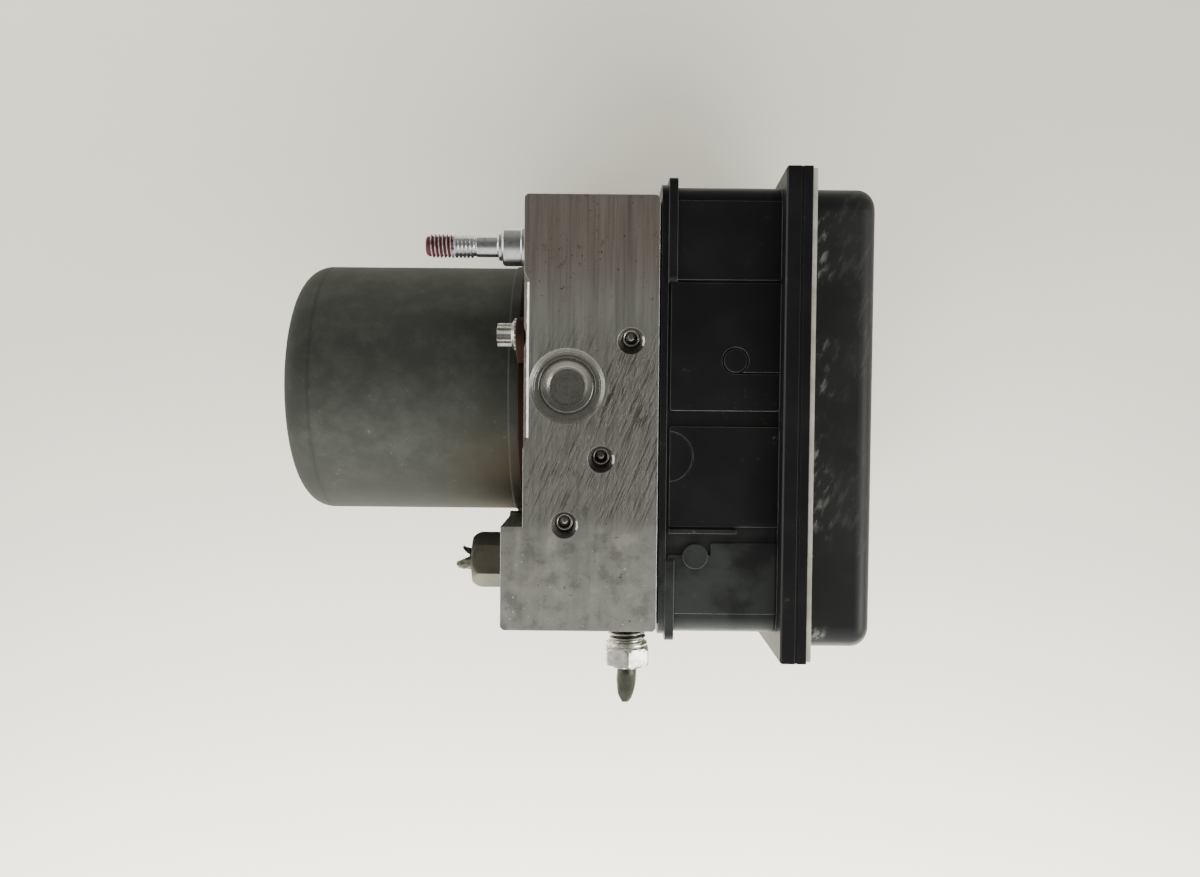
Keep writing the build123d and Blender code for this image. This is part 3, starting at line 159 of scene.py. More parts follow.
def reaching(tree, place, start, stop, toLow=0.0, toHigh=1.0):
    # the same for a place along an axis, with its limits in millimetres
    return between(tree, place, start * mm, stop * mm, toLow, toHigh)


def reckon(tree, operation, first, second=0.0):
    answer = addNode(tree, "Math", operation=operation)
    feed(tree, answer.inputs[0], first)
    feed(tree, answer.inputs[1], second)
    return answer.outputs[0]


def times(tree, first, *others):
    for other in others:
        first = reckon(tree, "MULTIPLY", first, other)
    return first


def plus(tree, first, second):
    return reckon(tree, "ADD", first, second)


def offFrom(tree, place, middle):
    return reckon(tree, "ABSOLUTE", reckon(tree, "SUBTRACT", place, middle))


def radiusOf(tree, first, second):
    # distance from an axis, out of the two offsets from it
    return reckon(tree, "SQRT", plus(tree, times(tree, first, first), times(tree, second, second)))


def facingTo(tree, vector, direction):
    # 1 where the vector points along the direction
    dot = addNode(tree, "VectorMath", operation="DOT_PRODUCT")
    feed(tree, dot.inputs[0], vector)
    dot.inputs[1].default_value = direction
    return dot.outputs["Value"]


def blendColour(tree, share, first, second):
    mixed = addNode(tree, "Mix", data_type="RGBA")
    feed(tree, mixed.inputs["Factor"], share)
    feed(tree, mixed.inputs["A"], first)
    feed(tree, mixed.inputs["B"], second)
    return mixed.outputs["Result"]


def tint(tree, colour, towards, *shares):
    # moves a colour towards another one by the product of the shares
    return blendColour(tree, times(tree, *shares), colour, towards)


def placeAlong(tree):
    # X, Y and Z in the part's own frame
    split = addNode(tree, "SeparateXYZ")
    feed(tree, split.inputs[0], addNode(tree, "TexCoord").outputs["Object"])
    return split.outputs[0], split.outputs[1], split.outputs[2]


def relief(tree, height, depth, strength=1.0, edge=0.0):
    # bump on top of slightly rounded edges, both in millimetres
    bump = addNode(tree, "Bump")
    feed(tree, bump.inputs["Height"], height)
    bump.inputs["Distance"].default_value = depth * mm
    bump.inputs["Strength"].default_value = strength
    if edge:
        rounded = addNode(tree, "Bevel", samples=6)
        rounded.inputs["Radius"].default_value = edge * mm
        tree.links.new(rounded.outputs["Normal"], bump.inputs["Normal"])
    return bump.outputs["Normal"]


def edgeWear(tree, radius, start, stop):
    # 1 along worn corners, 0 on flat faces; the radius is in millimetres
    rounded = addNode(tree, "Bevel", samples=6)
    rounded.inputs["Radius"].default_value = radius * mm
    facing = addNode(tree, "VectorMath", operation="DOT_PRODUCT")
    tree.links.new(rounded.outputs["Normal"], facing.inputs[0])
    tree.links.new(addNode(tree, "NewGeometry").outputs["Normal"], facing.inputs[1])
    return between(tree, facing.outputs["Value"], 1 - start, 1 - stop)


def rgb(red, green, blue):
    return (red, green, blue, 1.0)


# Finishes that the photograph shows. In the looks, a pair named Cut holds the noise
# values where a mark starts and is full, and Share says how strongly it covers.

blockLook = {
    "metal": rgb(0.435, 0.43, 0.40), "brown": rgb(0.36, 0.305, 0.265),
    "streak": rgb(0.13, 0.125, 0.112), "furrow": rgb(0.085, 0.08, 0.07),
    "smooth": rgb(0.54, 0.53, 0.495), "stain": rgb(0.72, 0.69, 0.62),
    # the pit colour marks real pits and grime, and is also the painted shade in the countersinks
    "bright": rgb(0.85, 0.85, 0.83), "pitAndShade": rgb(0.06, 0.045, 0.035),
    "roughness": (0.40, 0.56), "bumpDepth": 0.05, "bumpStrength": 0.55, "edge": 0.22,
    "brownY": (-13, 9), "brownDrift": 18, "brownShare": 0.85,
    "lineStretch": (1700, 45, 1700), "lineCut": (0.35, 0.72), "lineShare": 0.35, "lineOnSmooth": 0.2,
    "streakStretch": (1900, 75, 900), "streakTurn": 0.38, "streakCut": (0.475, 0.555),
    "streakShare": 0.92, "streakLow": (-73, -68), "streakHigh": (-14, -34), "streakX": (-4, 16),
    "filmShares": (0.25, 0.50), "denseShares": (0.45, 1.0), "patchCut": (0.30, 0.62),
    "smoothY": (-70, -73), "paleSheenY": (-71, -95), "paleSheenShare": 0.75,
    "stainCut": (0.50, 0.66), "stainShare": 0.45, "dimCut": (0.50, 0.36), "dimShare": 0.35,
    "chipCut": (0.70, 0.76), "pitCut": (0.31, 0.26), "pitShare": 0.8,
    "grimeCut": (0.60, 0.74), "grimeShare": 0.55, "sinkShadeShare": 0.72,
    "highlightFacing": (-0.707, 0.0, 0.707), "highlightMatch": (0.955, 0.975), "cutDepth": (0.32, 0.17),
    "cutDrift": 0.6, "reliefHighlight": rgb(1.0, 1.0, 0.98), "wear": (0.35, 0.02, 0.22), "wearShare": 0.8,
}


def blockAluminium(look=blockLook):
    material, tree, shader = startFinish("blockAluminium", Metallic=1.0)
    alongX, alongY, alongZ = placeAlong(tree)
    fine = streaked(tree, look["lineStretch"], detail=3, rough=0.65)
    coarse = streaked(tree, (420, 22, 420), detail=4, rough=0.6)
    slanted = streaked(tree, look["streakStretch"], 7, 0.78, 0.04, look["streakTurn"])
    patches = cloud(tree, 55, detail=5, rough=0.6)
    small = cloud(tree, 420, detail=4, rough=0.65)
    # brown film over the upper end
    drifted = plus(tree, alongY, times(tree, patches, look["brownDrift"] * mm))
    upper = reaching(tree, drifted, *look["brownY"])
    colour = tint(tree, look["metal"], look["brown"], upper, look["brownShare"])
    # milling lines, faint on the smooth end
    smoothEnd = reaching(tree, alongY, *look["smoothY"])
    milled = ramp(tree, smoothEnd, 0.0, 1.0, 1.0, look["lineOnSmooth"])
    lines = times(tree, between(tree, fine, *look["lineCut"]), milled)
    colour = tint(tree, colour, look["streak"], lines, look["lineShare"])
    # dark film and slanted streaks, from the pump plug down to the smooth end
    rowLow = reaching(tree, alongY, *look["streakLow"])
    rowHigh = reaching(tree, alongY, *look["streakHigh"])
    toUnit = reaching(tree, alongX, *look["streakX"], 0.55, 1.0)
    zone = times(tree, rowLow, rowHigh, toUnit)
    film = between(tree, patches, *look["patchCut"], *look["filmShares"])
    colour = tint(tree, colour, look["streak"], zone, film)
    dense = between(tree, patches, *look["patchCut"], *look["denseShares"])
    streaks = times(tree, between(tree, slanted, *look["streakCut"]), zone, dense)
    colour = tint(tree, colour, look["furrow"], streaks, look["streakShare"])
    # the smooth end turns paler towards the lower end as a painted sheen, and has soft blotches
    stains = cloud(tree, 210, detail=7, rough=0.6, warp=0.08)
    lowest = reaching(tree, alongY, *look["paleSheenY"], 0.15, 1.0)
    colour = tint(tree, colour, look["smooth"], smoothEnd, lowest, look["paleSheenShare"])
    pale = between(tree, stains, *look["stainCut"])
    colour = tint(tree, colour, look["stain"], pale, smoothEnd, look["stainShare"])
    dim = between(tree, stains, *look["dimCut"])
    colour = tint(tree, colour, look["streak"], dim, smoothEnd, look["dimShare"])
    # bright chips on the smooth end, and dark pits and grime all over
    chips = cloud(tree, 1100, detail=2, rough=0.5)
    colour = tint(tree, colour, look["bright"], between(tree, chips, *look["chipCut"]), smoothEnd)
    pitted = times(tree, between(tree, chips, *look["pitCut"]), between(tree, patches, 0.36, 0.55))
    colour = tint(tree, colour, look["pitAndShade"], pitted, look["pitShare"])
    grime = times(tree, between(tree, small, *look["grimeCut"]), between(tree, patches, 0.46, 0.62))
    colour = tint(tree, colour, look["pitAndShade"], grime, look["grimeShare"])
    # painted shade darkens the countersinks
    surface = addNode(tree, "NewGeometry").outputs["Normal"]
    tilt = facingTo(tree, surface, (0, 0, 1))
    sinkShade = times(tree, between(tree, tilt, 0.97, 0.93), between(tree, tilt, 0.3, 0.5))
    colour = tint(tree, colour, look["pitAndShade"], sinkShade, look["sinkShadeShare"])
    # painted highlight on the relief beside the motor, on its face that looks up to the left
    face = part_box("valve_block")[1].z / mm
    cutEdge = plus(tree, alongZ, times(tree, small, look["cutDrift"] * mm))
    nearFace = reaching(tree, cutEdge, *(face - depth for depth in look["cutDepth"]))
    cut = between(tree, facingTo(tree, surface, look["highlightFacing"]), *look["highlightMatch"])
    colour = tint(tree, colour, look["reliefHighlight"], cut, nearFace)
    # worn edges, also a painted highlight along the chamfers
    colour = tint(tree, colour, look["bright"], edgeWear(tree, *look["wear"]), look["wearShare"])
    polish = plus(tree, coarse, times(tree, streaks, 0.3))
    grooves = times(tree, streaks, -0.7)
    height = plus(tree, times(tree, fine, 0.6), plus(tree, times(tree, coarse, 0.4), grooves))
    wire(tree, shader, colour, ramp(tree, polish, 0.3, 0.9, *look["roughness"]),
         relief(tree, height, look["bumpDepth"], look["bumpStrength"], look["edge"]))
    return material


canLook = {
    "coat": rgb(0.033, 0.0355, 0.031), "pale": rgb(0.047, 0.049, 0.043),
    "brown": rgb(0.050, 0.041, 0.025), "rust": rgb(0.017, 0.0075, 0.0055),
    "scratch": rgb(0.12, 0.125, 0.11), "lowerShade": rgb(0.012, 0.012, 0.010),
    "creaseShade": rgb(0.018, 0.019, 0.017), "edgeShade": rgb(0.12, 0.12, 0.105),
    "roughness": (0.68, 0.80), "bumpDepth": 0.06, "bumpStrength": 0.5, "edge": 0.3,
    "mottleCut": (0.38, 0.70), "brownX": (-22, 0), "brownY": (-28, -52), "brownDrift": (12, 20),
    "brownShare": 0.8, "scratchY": (-25, -58), "scratchCut": (0.66, 0.76),
    "creaseAt": -57.0, "creaseHalf": 0.9, "creaseShare": 0.35, "creaseDip": -2.5,
    "lowerShadeY": (-48, -66), "lowerShadeShare": 0.62, "rustX": (-1.9, -1.2), "rustDrift": 1.2,
    "metallic": 0.15, "wear": (0.3, 0.03, 0.3), "wearShare": 0.35,
}


def canSteel(look=canLook):
    material, tree, shader = startFinish("canSteel", Specular_IOR_Level=0.12)
    alongX, alongY, _ = placeAlong(tree)
    mottle = cloud(tree, 130, detail=7, rough=0.68)
    grain = cloud(tree, 900, detail=3, rough=0.6)
    drawn = streaked(tree, (70, 900, 900), detail=3, rough=0.6)
    colour = blendColour(tree, between(tree, mottle, *look["mottleCut"]), look["coat"], look["pale"])
    # brownish towards the flange, low on the side that faces the ports
    driftX, driftY = (times(tree, mottle, drift * mm) for drift in look["brownDrift"])
    brownX = reaching(tree, plus(tree, alongX, driftX), *look["brownX"])
    brownY = reaching(tree, plus(tree, alongY, driftY), *look["brownY"])
    colour = tint(tree, colour, look["brown"], brownX, brownY, look["brownShare"])
    # pale scratches and specks, more on the lower half
    lowHalf = reaching(tree, alongY, *look["scratchY"], 0.15, 1.0)
    speck = times(tree, between(tree, grain, *look["scratchCut"]), between(tree, mottle, 0.44, 0.60))
    colour = tint(tree, colour, look["scratch"], speck, lowHalf)
    # the faint ring where the can turns into its dome
    crease = reaching(tree, offFrom(tree, alongX, look["creaseAt"] * mm), look["creaseHalf"], 0.0)
    colour = tint(tree, colour, look["creaseShade"], crease, look["creaseShare"])
    # painted shade darkens the lower side, and rust runs along the flange and its ears
    colour = tint(tree, colour, look["lowerShade"], reaching(tree, alongY, *look["lowerShadeY"]), look["lowerShadeShare"])
    rustEdge = plus(tree, alongX, times(tree, mottle, look["rustDrift"] * mm))
    rust = reaching(tree, rustEdge, *look["rustX"])
    colour = tint(tree, colour, look["rust"], rust)
    colour = tint(tree, colour, look["edgeShade"], edgeWear(tree, *look["wear"]), look["wearShare"])
    feed(tree, shader.inputs["Metallic"], ramp(tree, rust, 0.0, 1.0, look["metallic"], 0.0))
    polish = plus(tree, mottle, times(tree, rust, 0.6))
    dip = plus(tree, grain, times(tree, crease, look["creaseDip"]))
    height = plus(tree, times(tree, drawn, 0.5), dip)
    wire(tree, shader, colour, ramp(tree, polish, 0.3, 1.0, *look["roughness"]),
         relief(tree, height, look["bumpDepth"], look["bumpStrength"], look["edge"]))
    return material


platedLook = {
    "stainCut": (0.42, 0.68), "markCut": (0.58, 0.75), "markShare": 0.5, "wear": (0.14, 0.03, 0.2),
    "wearShare": 0.7, "bumpStrength": 0.6, "edge": 0.12,
}


def platedMetal(name, colour, dull, roughness=(0.18, 0.34), scale=500, edgeColour=None,
                metallic=1.0, bump=0.03, valley=None, look=platedLook):
    # plated or bare steel with handling marks
    material, tree, shader = startFinish(name, Metallic=metallic)
    marks = cloud(tree, scale, detail=5, rough=0.62)
    stains = cloud(tree, scale / 4, detail=4, rough=0.6)
    shade = blendColour(tree, between(tree, stains, *look["stainCut"]), colour, dull)
    shade = tint(tree, shade, dull, between(tree, marks, *look["markCut"]), look["markShare"])
    if edgeColour:
        shade = tint(tree, shade, edgeColour, edgeWear(tree, *look["wear"]), look["wearShare"])
    if valley:
        shade = darkValleys(tree, shade, valley)
    wire(tree, shader, shade, ramp(tree, marks, 0.3, 0.75, *roughness),
         relief(tree, marks, bump, look["bumpStrength"], look["edge"]))
    return material


nutMiddle = middleOf("outlet_pipe_nut")
threadValley = {
    "x": nutMiddle.x, "z": nutMiddle.z, "radii": (4.88, 4.35), "fromTip": 6.9, "fade": 0.2,
    "colour": rgb(0.10, 0.095, 0.08),
}


def darkValleys(tree, shade, valley):
    # the wheel nut's thread is dark inside this radius, beyond its collar
    alongX, alongY, alongZ = placeAlong(tree)
    radius = radiusOf(tree, offFrom(tree, alongX, valley["x"]), offFrom(tree, alongZ, valley["z"]))
    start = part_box("outlet_pipe_nut")[0].y / mm + valley["fromTip"]
    beyond = reaching(tree, alongY, start, start + valley["fade"])
    return tint(tree, shade, valley["colour"], reaching(tree, radius, *valley["radii"]), beyond)


studLook = {
    "zinc": rgb(0.74, 0.76, 0.76), "dull": rgb(0.52, 0.53, 0.53), "locker": rgb(0.050, 0.012, 0.012),
    "dullCut": (0.50, 0.80), "lockerX": (-16.1, -17.3), "lockerDrift": 3.5, "halfPitch": 36.0,
    "valleyRadii": (3.28, 3.08), "valleyDrift": 0.4, "metalPolish": 0.24, "lockerPolish": 0.55,
    "bumpDepth": 0.03, "bumpStrength": 0.5,
}


def studZinc(look=studLook):
    material, tree, shader = startFinish("studZinc")
    alongX, alongY, alongZ = placeAlong(tree)
    marks = cloud(tree, 700, detail=4, rough=0.6)
    colour = blendColour(tree, between(tree, marks, *look["dullCut"]), look["zinc"], look["dull"])
    # red thread locker lies in the thread's valleys and thins out towards the shank
    height = reckon(tree, "ABSOLUTE", alongZ)
    radius = radiusOf(tree, offFrom(tree, height, look["halfPitch"] * mm), alongY)
    uneven = plus(tree, radius, times(tree, marks, look["valleyDrift"] * mm))
    edge = plus(tree, alongX, times(tree, marks, look["lockerDrift"] * mm))
    painted = times(tree, reaching(tree, edge, *look["lockerX"]),
                    reaching(tree, uneven, *look["valleyRadii"]))
    colour = tint(tree, colour, look["locker"], painted)
    feed(tree, shader.inputs["Metallic"], ramp(tree, painted, 0.0, 1.0, 1.0, 0.0))
    wire(tree, shader, colour,
         ramp(tree, painted, 0.0, 1.0, look["metalPolish"], look["lockerPolish"]),
         relief(tree, marks, look["bumpDepth"], look["bumpStrength"]))
    return material


plugLook = {
    "steel": rgb(0.46, 0.45, 0.42), "dull": rgb(0.29, 0.28, 0.25), "dirt": rgb(0.16, 0.145, 0.12),
    "bright": rgb(0.8, 0.79, 0.75), "ringsPerMetre": 4200, "ringCut": (0.35, 0.68),
    "dirtCut": (0.5, 0.72), "dirtShare": 0.5, "wear": (0.25, 0.02, 0.25), "wearShare": 0.6,
    "roughness": (0.22, 0.38), "bumpDepth": 0.04, "bumpStrength": 0.6, "edge": 0.15,
}


def plugSteel(look=plugLook):
    material, tree, shader = startFinish("plugSteel", Metallic=1.0)
    alongX, alongY, _ = placeAlong(tree)
    centre = middleOf("pump_plug_1")
    radius = radiusOf(tree, offFrom(tree, alongX, centre.x), offFrom(tree, alongY, centre.y))
    # fine rings left by the lathe
    ringSpace = addNode(tree, "CombineXYZ")
    feed(tree, ringSpace.inputs[0], times(tree, radius, look["ringsPerMetre"]))
    turned = cloudIn(tree, ringSpace.outputs[0], detail=2, rough=0.5)
    stains = cloud(tree, 300)
    shade = blendColour(tree, between(tree, turned, *look["ringCut"]), look["steel"], look["dull"])
    shade = tint(tree, shade, look["dirt"], between(tree, stains, *look["dirtCut"]), look["dirtShare"])
    shade = tint(tree, shade, look["bright"], edgeWear(tree, *look["wear"]), look["wearShare"])
    wire(tree, shader, shade, ramp(tree, stains, 0.3, 0.8, *look["roughness"]),
         relief(tree, turned, look["bumpDepth"], look["bumpStrength"], look["edge"]))
    return material


plasticLook = {
    "black": rgb(0.0032, 0.0036, 0.0038), "grey": rgb(0.022, 0.024, 0.023),
    "dust": rgb(0.16, 0.16, 0.145), "edge": rgb(0.115, 0.13, 0.122), "roughness": (0.32, 0.50),
    "greyY": (-68, -78), "greyX": (64.2, 63.6), "greyCut": (0.34, 0.56), "thinShare": 0.08,
    "markCut": (0.62, 0.80), "markShare": 0.6, "scratchStretch": (80, 1300, 500), "scratchTurn": 0.2,
    "scratchCut": (0.70, 0.80), "scratchShare": 0.35, "wear": (0.28, 0.02, 0.25),
    "bandAt": 68.5, "bandWear": 0.08, "bumpDepth": 0.05, "bumpStrength": 0.4, "bevel": 0.25,
}


def housingPlastic(look=plasticLook):
    material, tree, shader = startFinish("housingPlastic", Specular_IOR_Level=0.3)
    alongX, alongY, _ = placeAlong(tree)
    film = cloud(tree, 60, detail=5, rough=0.6)
    scuffs = cloud(tree, 420, detail=5, rough=0.7)
    scratches = streaked(tree, look["scratchStretch"], detail=3, rough=0.6, turn=look["scratchTurn"])
    # an even grey film on the lower panel, with dark blotches in it
    lower = times(tree, reaching(tree, alongY, *look["greyY"]), reaching(tree, alongX, *look["greyX"]))
    blotches = between(tree, film, *look["greyCut"], 0.25, 1.0)
    colour = tint(tree, look["black"], look["grey"], lower, blotches)
    colour = tint(tree, colour, look["grey"], between(tree, film, 0.40, 0.75), look["thinShare"])
    marks = times(tree, between(tree, scuffs, *look["markCut"]), between(tree, film, 0.50, 0.64))
    colour = tint(tree, colour, look["dust"], marks, look["markShare"])
    lines = times(tree, between(tree, scratches, *look["scratchCut"]), between(tree, film, 0.52, 0.70))
    colour = tint(tree, colour, look["dust"], lines, look["scratchShare"])
    # pale worn edges, also a painted highlight along the rims, but not on the band in the flange
    patchy = between(tree, film, 0.32, 0.60, 0.35, 0.9)
    fromBand = offFrom(tree, alongX, look["bandAt"] * mm)
    offBand = reaching(tree, fromBand, 0.6, 0.9, look["bandWear"], 1.0)
    colour = tint(tree, colour, look["edge"], edgeWear(tree, *look["wear"]), patchy, offBand)
    wire(tree, shader, colour, ramp(tree, film, 0.3, 0.8, *look["roughness"]),
         relief(tree, scuffs, look["bumpDepth"], look["bumpStrength"], look["bevel"]))
    return material


coverLook = {
    "black": rgb(0.0070, 0.0076, 0.0078), "dust": rgb(0.17, 0.17, 0.155), "dot": rgb(0.35, 0.35, 0.33),
    "roughness": (0.40, 0.56), "grainSize": 2300, "filmShare": 0.04, "dustX": (79.5, 72.2),
    "rubStretch": (600, 170, 600), "rubTurn": 0.4, "rubCut": (0.50, 0.66), "rubShare": 0.75,
    "dotScale": 150, "dotCut": (0.075, 0.045), "rareScale": 170, "rareCut": (0.60, 0.66),
    "dotShare": 0.8, "wear": (0.3, 0.03, 0.3), "wearShare": 0.4,
    "bumpDepth": 0.03, "bumpStrength": 0.5, "bevel": 0.2,
}


def coverPlastic(look=coverLook):
    material, tree, shader = startFinish("coverPlastic", Specular_IOR_Level=0.32)
    alongX, _, _ = placeAlong(tree)
    grain = cloud(tree, look["grainSize"], detail=2, rough=0.5)
    film = cloud(tree, 40, detail=5, rough=0.6)
    rubbed = streaked(tree, look["rubStretch"], detail=4, rough=0.65, turn=look["rubTurn"])
    colour = tint(tree, look["black"], look["dust"], between(tree, film, 0.38, 0.72), look["filmShare"])
    # scuffs, most of them beside the seal
    beside = reaching(tree, alongX, *look["dustX"], 0.10, 1.0)
    marks = times(tree, between(tree, rubbed, *look["rubCut"]), between(tree, film, 0.46, 0.56))
    colour = tint(tree, colour, look["dust"], marks, beside, look["rubShare"])
    # a few pale dots
    dots = between(tree, dotsIn(tree, look["dotScale"]), *look["dotCut"])
    rare = between(tree, cloud(tree, look["rareScale"], detail=0), *look["rareCut"])
    colour = tint(tree, colour, look["dot"], dots, rare, look["dotShare"])
    colour = tint(tree, colour, look["dust"], edgeWear(tree, *look["wear"]), look["wearShare"])
    wire(tree, shader, colour, ramp(tree, film, 0.3, 0.8, *look["roughness"]),
         relief(tree, grain, look["bumpDepth"], look["bumpStrength"], look["bevel"]))
    return material


def workedFinish(name, colour, second, metallic=0.0, roughness=(0.4, 0.6),
                 stretch=(300, 300, 300), bump=0.03):
    # an inner piece: two tones and a grain that runs as the piece was made
    material, tree, shader = startFinish(name, Metallic=metallic)
    grain = streaked(tree, stretch)
    tone = cloud(tree, 110, detail=3)
    shade = blendColour(tree, between(tree, tone, 0.38, 0.66), colour, second)
    shade = tint(tree, shade, second, between(tree, grain, 0.52, 0.74), 0.5)
    wire(tree, shader, shade, ramp(tree, grain, 0.3, 0.75, *roughness), relief(tree, grain, bump, 0.6))
    return material


finishes = {
    "block_aluminium": blockAluminium(),
    "can_steel": canSteel(),
    "bright_zinc": platedMetal(
        "brightZinc", rgb(0.72, 0.715, 0.67), rgb(0.40, 0.385, 0.34), (0.22, 0.38), scale=900,
        edgeColour=rgb(0.88, 0.87, 0.83), bump=0.004, valley=threadValley),
    "dark_nut_steel": platedMetal(
        "darkNutSteel", rgb(0.052, 0.053, 0.042), rgb(0.085, 0.077, 0.056), (0.42, 0.60),
        edgeColour=rgb(0.55, 0.53, 0.46), metallic=0.45),
    "pipe_steel": platedMetal(
        "pipeSteel", rgb(0.055, 0.058, 0.044), rgb(0.13, 0.13, 0.105), (0.28, 0.5), scale=420,
        metallic=0.85, bump=0.05),
    "ball_steel": platedMetal(
        "ballSteel", rgb(0.42, 0.41, 0.38), rgb(0.16, 0.15, 0.13), (0.16, 0.3), scale=600),
    "housing_plastic": housingPlastic(),
    "cover_plastic": coverPlastic(),
}
# Slot, material, two tones, metallic, roughness, and where they differ the grain's stretch and bump
workedFinishes = [
    ("pale_seal", "paleSeal", (0.42, 0.41, 0.36), (0.27, 0.255, 0.21), 0.0, (0.6, 0.8),
     (500, 220, 500)),
    ("seal_rubber", "sealRubber", (0.02, 0.02, 0.02), (0.035, 0.034, 0.033), 0.0, (0.6, 0.8)),
    ("shaft_steel", "shaftSteel", (0.56, 0.56, 0.55), (0.40, 0.40, 0.39), 1.0, (0.18, 0.32),
     (900, 40, 40)),
    ("spring_steel", "springSteel", (0.32, 0.32, 0.33), (0.20, 0.20, 0.20), 1.0, (0.25, 0.4)),
    ("core_steel", "coreSteel", (0.30, 0.30, 0.31), (0.19, 0.18, 0.17), 0.9, (0.35, 0.55),
     (2000, 20, 20), 0.06),
    ("copper_wire", "copperWire", (0.62, 0.27, 0.13), (0.42, 0.16, 0.07), 1.0, (0.22, 0.4),
     (60, 1500, 1500), 0.1),
    ("bronze_bush", "bronzeBush", (0.50, 0.36, 0.18), (0.36, 0.25, 0.12), 1.0, (0.35, 0.5)),
    ("magnet_ferrite", "magnetFerrite", (0.045, 0.045, 0.048), (0.07, 0.068, 0.066), 0.2, (0.6, 0.8)),
    ("brush_carbon", "brushCarbon", (0.03, 0.03, 0.031), (0.055, 0.05, 0.048), 0.3, (0.5, 0.7)),
    ("valve_steel", "valveSteel", (0.50, 0.50, 0.49), (0.34, 0.34, 0.33), 1.0, (0.22, 0.36),
     (900, 60, 60)),
    ("coil_steel", "coilSteel", (0.46, 0.46, 0.44), (0.30, 0.30, 0.28), 1.0, (0.3, 0.48),
     (60, 400, 400)),
    ("board_green", "boardGreen", (0.015, 0.10, 0.04), (0.01, 0.06, 0.025), 0.0, (0.3, 0.45),
     (600, 600, 600), 0.02),
    ("inner_plastic", "innerPlastic", (0.09, 0.085, 0.08), (0.06, 0.056, 0.052), 0.0, (0.45, 0.6)),
]
for slotKey, finishName, firstTone, secondTone, *rest in workedFinishes:
    finishes[slotKey] = workedFinish(finishName, rgb(*firstTone), rgb(*secondTone), *rest)
print("finishes made:", len(finishes))


# Mesh helpers

def acrossFrom(direction):
    # two directions square to the axis
    axis = Vector(direction).normalized()
    side = Vector((0, 0, 1)) if abs(axis.z) < 0.9 else Vector((0, 1, 0))
    first = side.cross(axis).normalized()
    return axis, first, axis.cross(first)


def bridge(mesh, lower, upper):
    # faces between two rings of the same count
    count = len(lower)
    for step in range(count):
        after = (step + 1) % count
        mesh.faces.new((lower[step], lower[after], upper[after], upper[step]))


def addTurned(mesh, origin, direction, rings, around=48, ends="capped"):
    # rings are (along, radius) pairs in mm; a radius may depend on the angle
    axis, first, second = acrossFrom(direction)
    base = Vector(origin)
    rows = []
    for along, radius in rings:
        row = []
        for step in range(around):
            angle = fullTurn * step / around
            reach = radius(angle, along) if callable(radius) else radius
            outward = first * math.cos(angle) + second * math.sin(angle)
            row.append(mesh.verts.new(base + axis * along * mm + outward * reach * mm))
        rows.append(row)
    for lower, upper in zip(rows, rows[1:]):
        bridge(mesh, lower, upper)
    if ends == "capped":
        mesh.faces.new(reversed(rows[0]))
        mesh.faces.new(rows[-1])
    else:
        bridge(mesh, rows[-1], rows[0])


def hexRings(flats, start, stop, chamfers, turn=0.0, steps=12):
    # the rounded cut across a nut's corners, met by its six flats
    sixth = fullTurn / 6
    corner = flats / 2 / math.cos(sixth / 2)
    least = flats / 2 * 0.965

    def reach(angle, along):
        first = min(1.0, abs(along - start) / chamfers[0])
        last = min(1.0, abs(stop - along) / chamfers[1])
        cut = min(1 - (1 - first) ** 2, 1 - (1 - last) ** 2)
        flat = flats / 2 / math.cos((angle - turn + sixth / 2) % sixth - sixth / 2)
        return min(flat, least + cut * (corner - least))
    return [(start + (stop - start) * step / steps, reach) for step in range(steps + 1)]


def threadRings(start, stop, major, minor, pitch, perTurn=10):
    # a helical groove, run out at both ends
    steps = max(2, round((stop - start) / pitch * perTurn))
    rootFlat, flank, runOut = 0.16, 0.68, 0.7

    def reach(angle, along):
        phase = ((along - start) / pitch - angle / fullTurn) % 1.0
        crest = min(1.0, max(0.0, (abs(phase - 0.5) * 2 - rootFlat) / flank))
        nearEnd = min(1.0, (along - start) / (runOut * pitch), (stop - along) / (runOut * pitch))
        return minor + (major - minor) * crest * max(0.0, nearEnd)
    return [(start + (stop - start) * step / steps, reach) for step in range(steps + 1)]


def finishPiece(name, mesh, slotName, replaced=(), sharp=32, finish=None):
    bmesh.ops.recalc_face_normals(mesh, faces=mesh.faces)
    data = bpy.data.meshes.new(name)
    mesh.to_mesh(data)
    mesh.free()
    data.materials.append(finish or finishes[slotName])
    data.polygons.foreach_set("use_smooth", [True] * len(data.polygons))
    data.set_sharp_from_angle(angle=math.radians(sharp))
    piece = bpy.data.objects.new(name, data)
    bpy.context.scene.collection.objects.link(piece)
    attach(piece, "hydraulic_unit")
    if replaced:
        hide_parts(*replaced)
    return piece


# CAD nodes take their finishes

slotOfNode = {entry["node"]: entry["material_slot"] for entry in record["subparts"]}
for nodeName, node in nodes.items():
    for materialSlot in node.material_slots:
        materialSlot.material = finishes[slotOfNode[nodeName]]
print("CAD nodes dressed, slots found:", len(slotOfNode))


# Mounting studs; a pair is a radius and a length

studSizes = {
    "washer": (5.5, 1.0), "collar": (5.0, 5.0), "ring": (3.65, 1.0), "shank": (2.75, 6.0),
    "thread": (3.0, 2.45, 1.0), "threadLength": 12.7, "rootLength": 10.0, "pitch": 72.0,
}


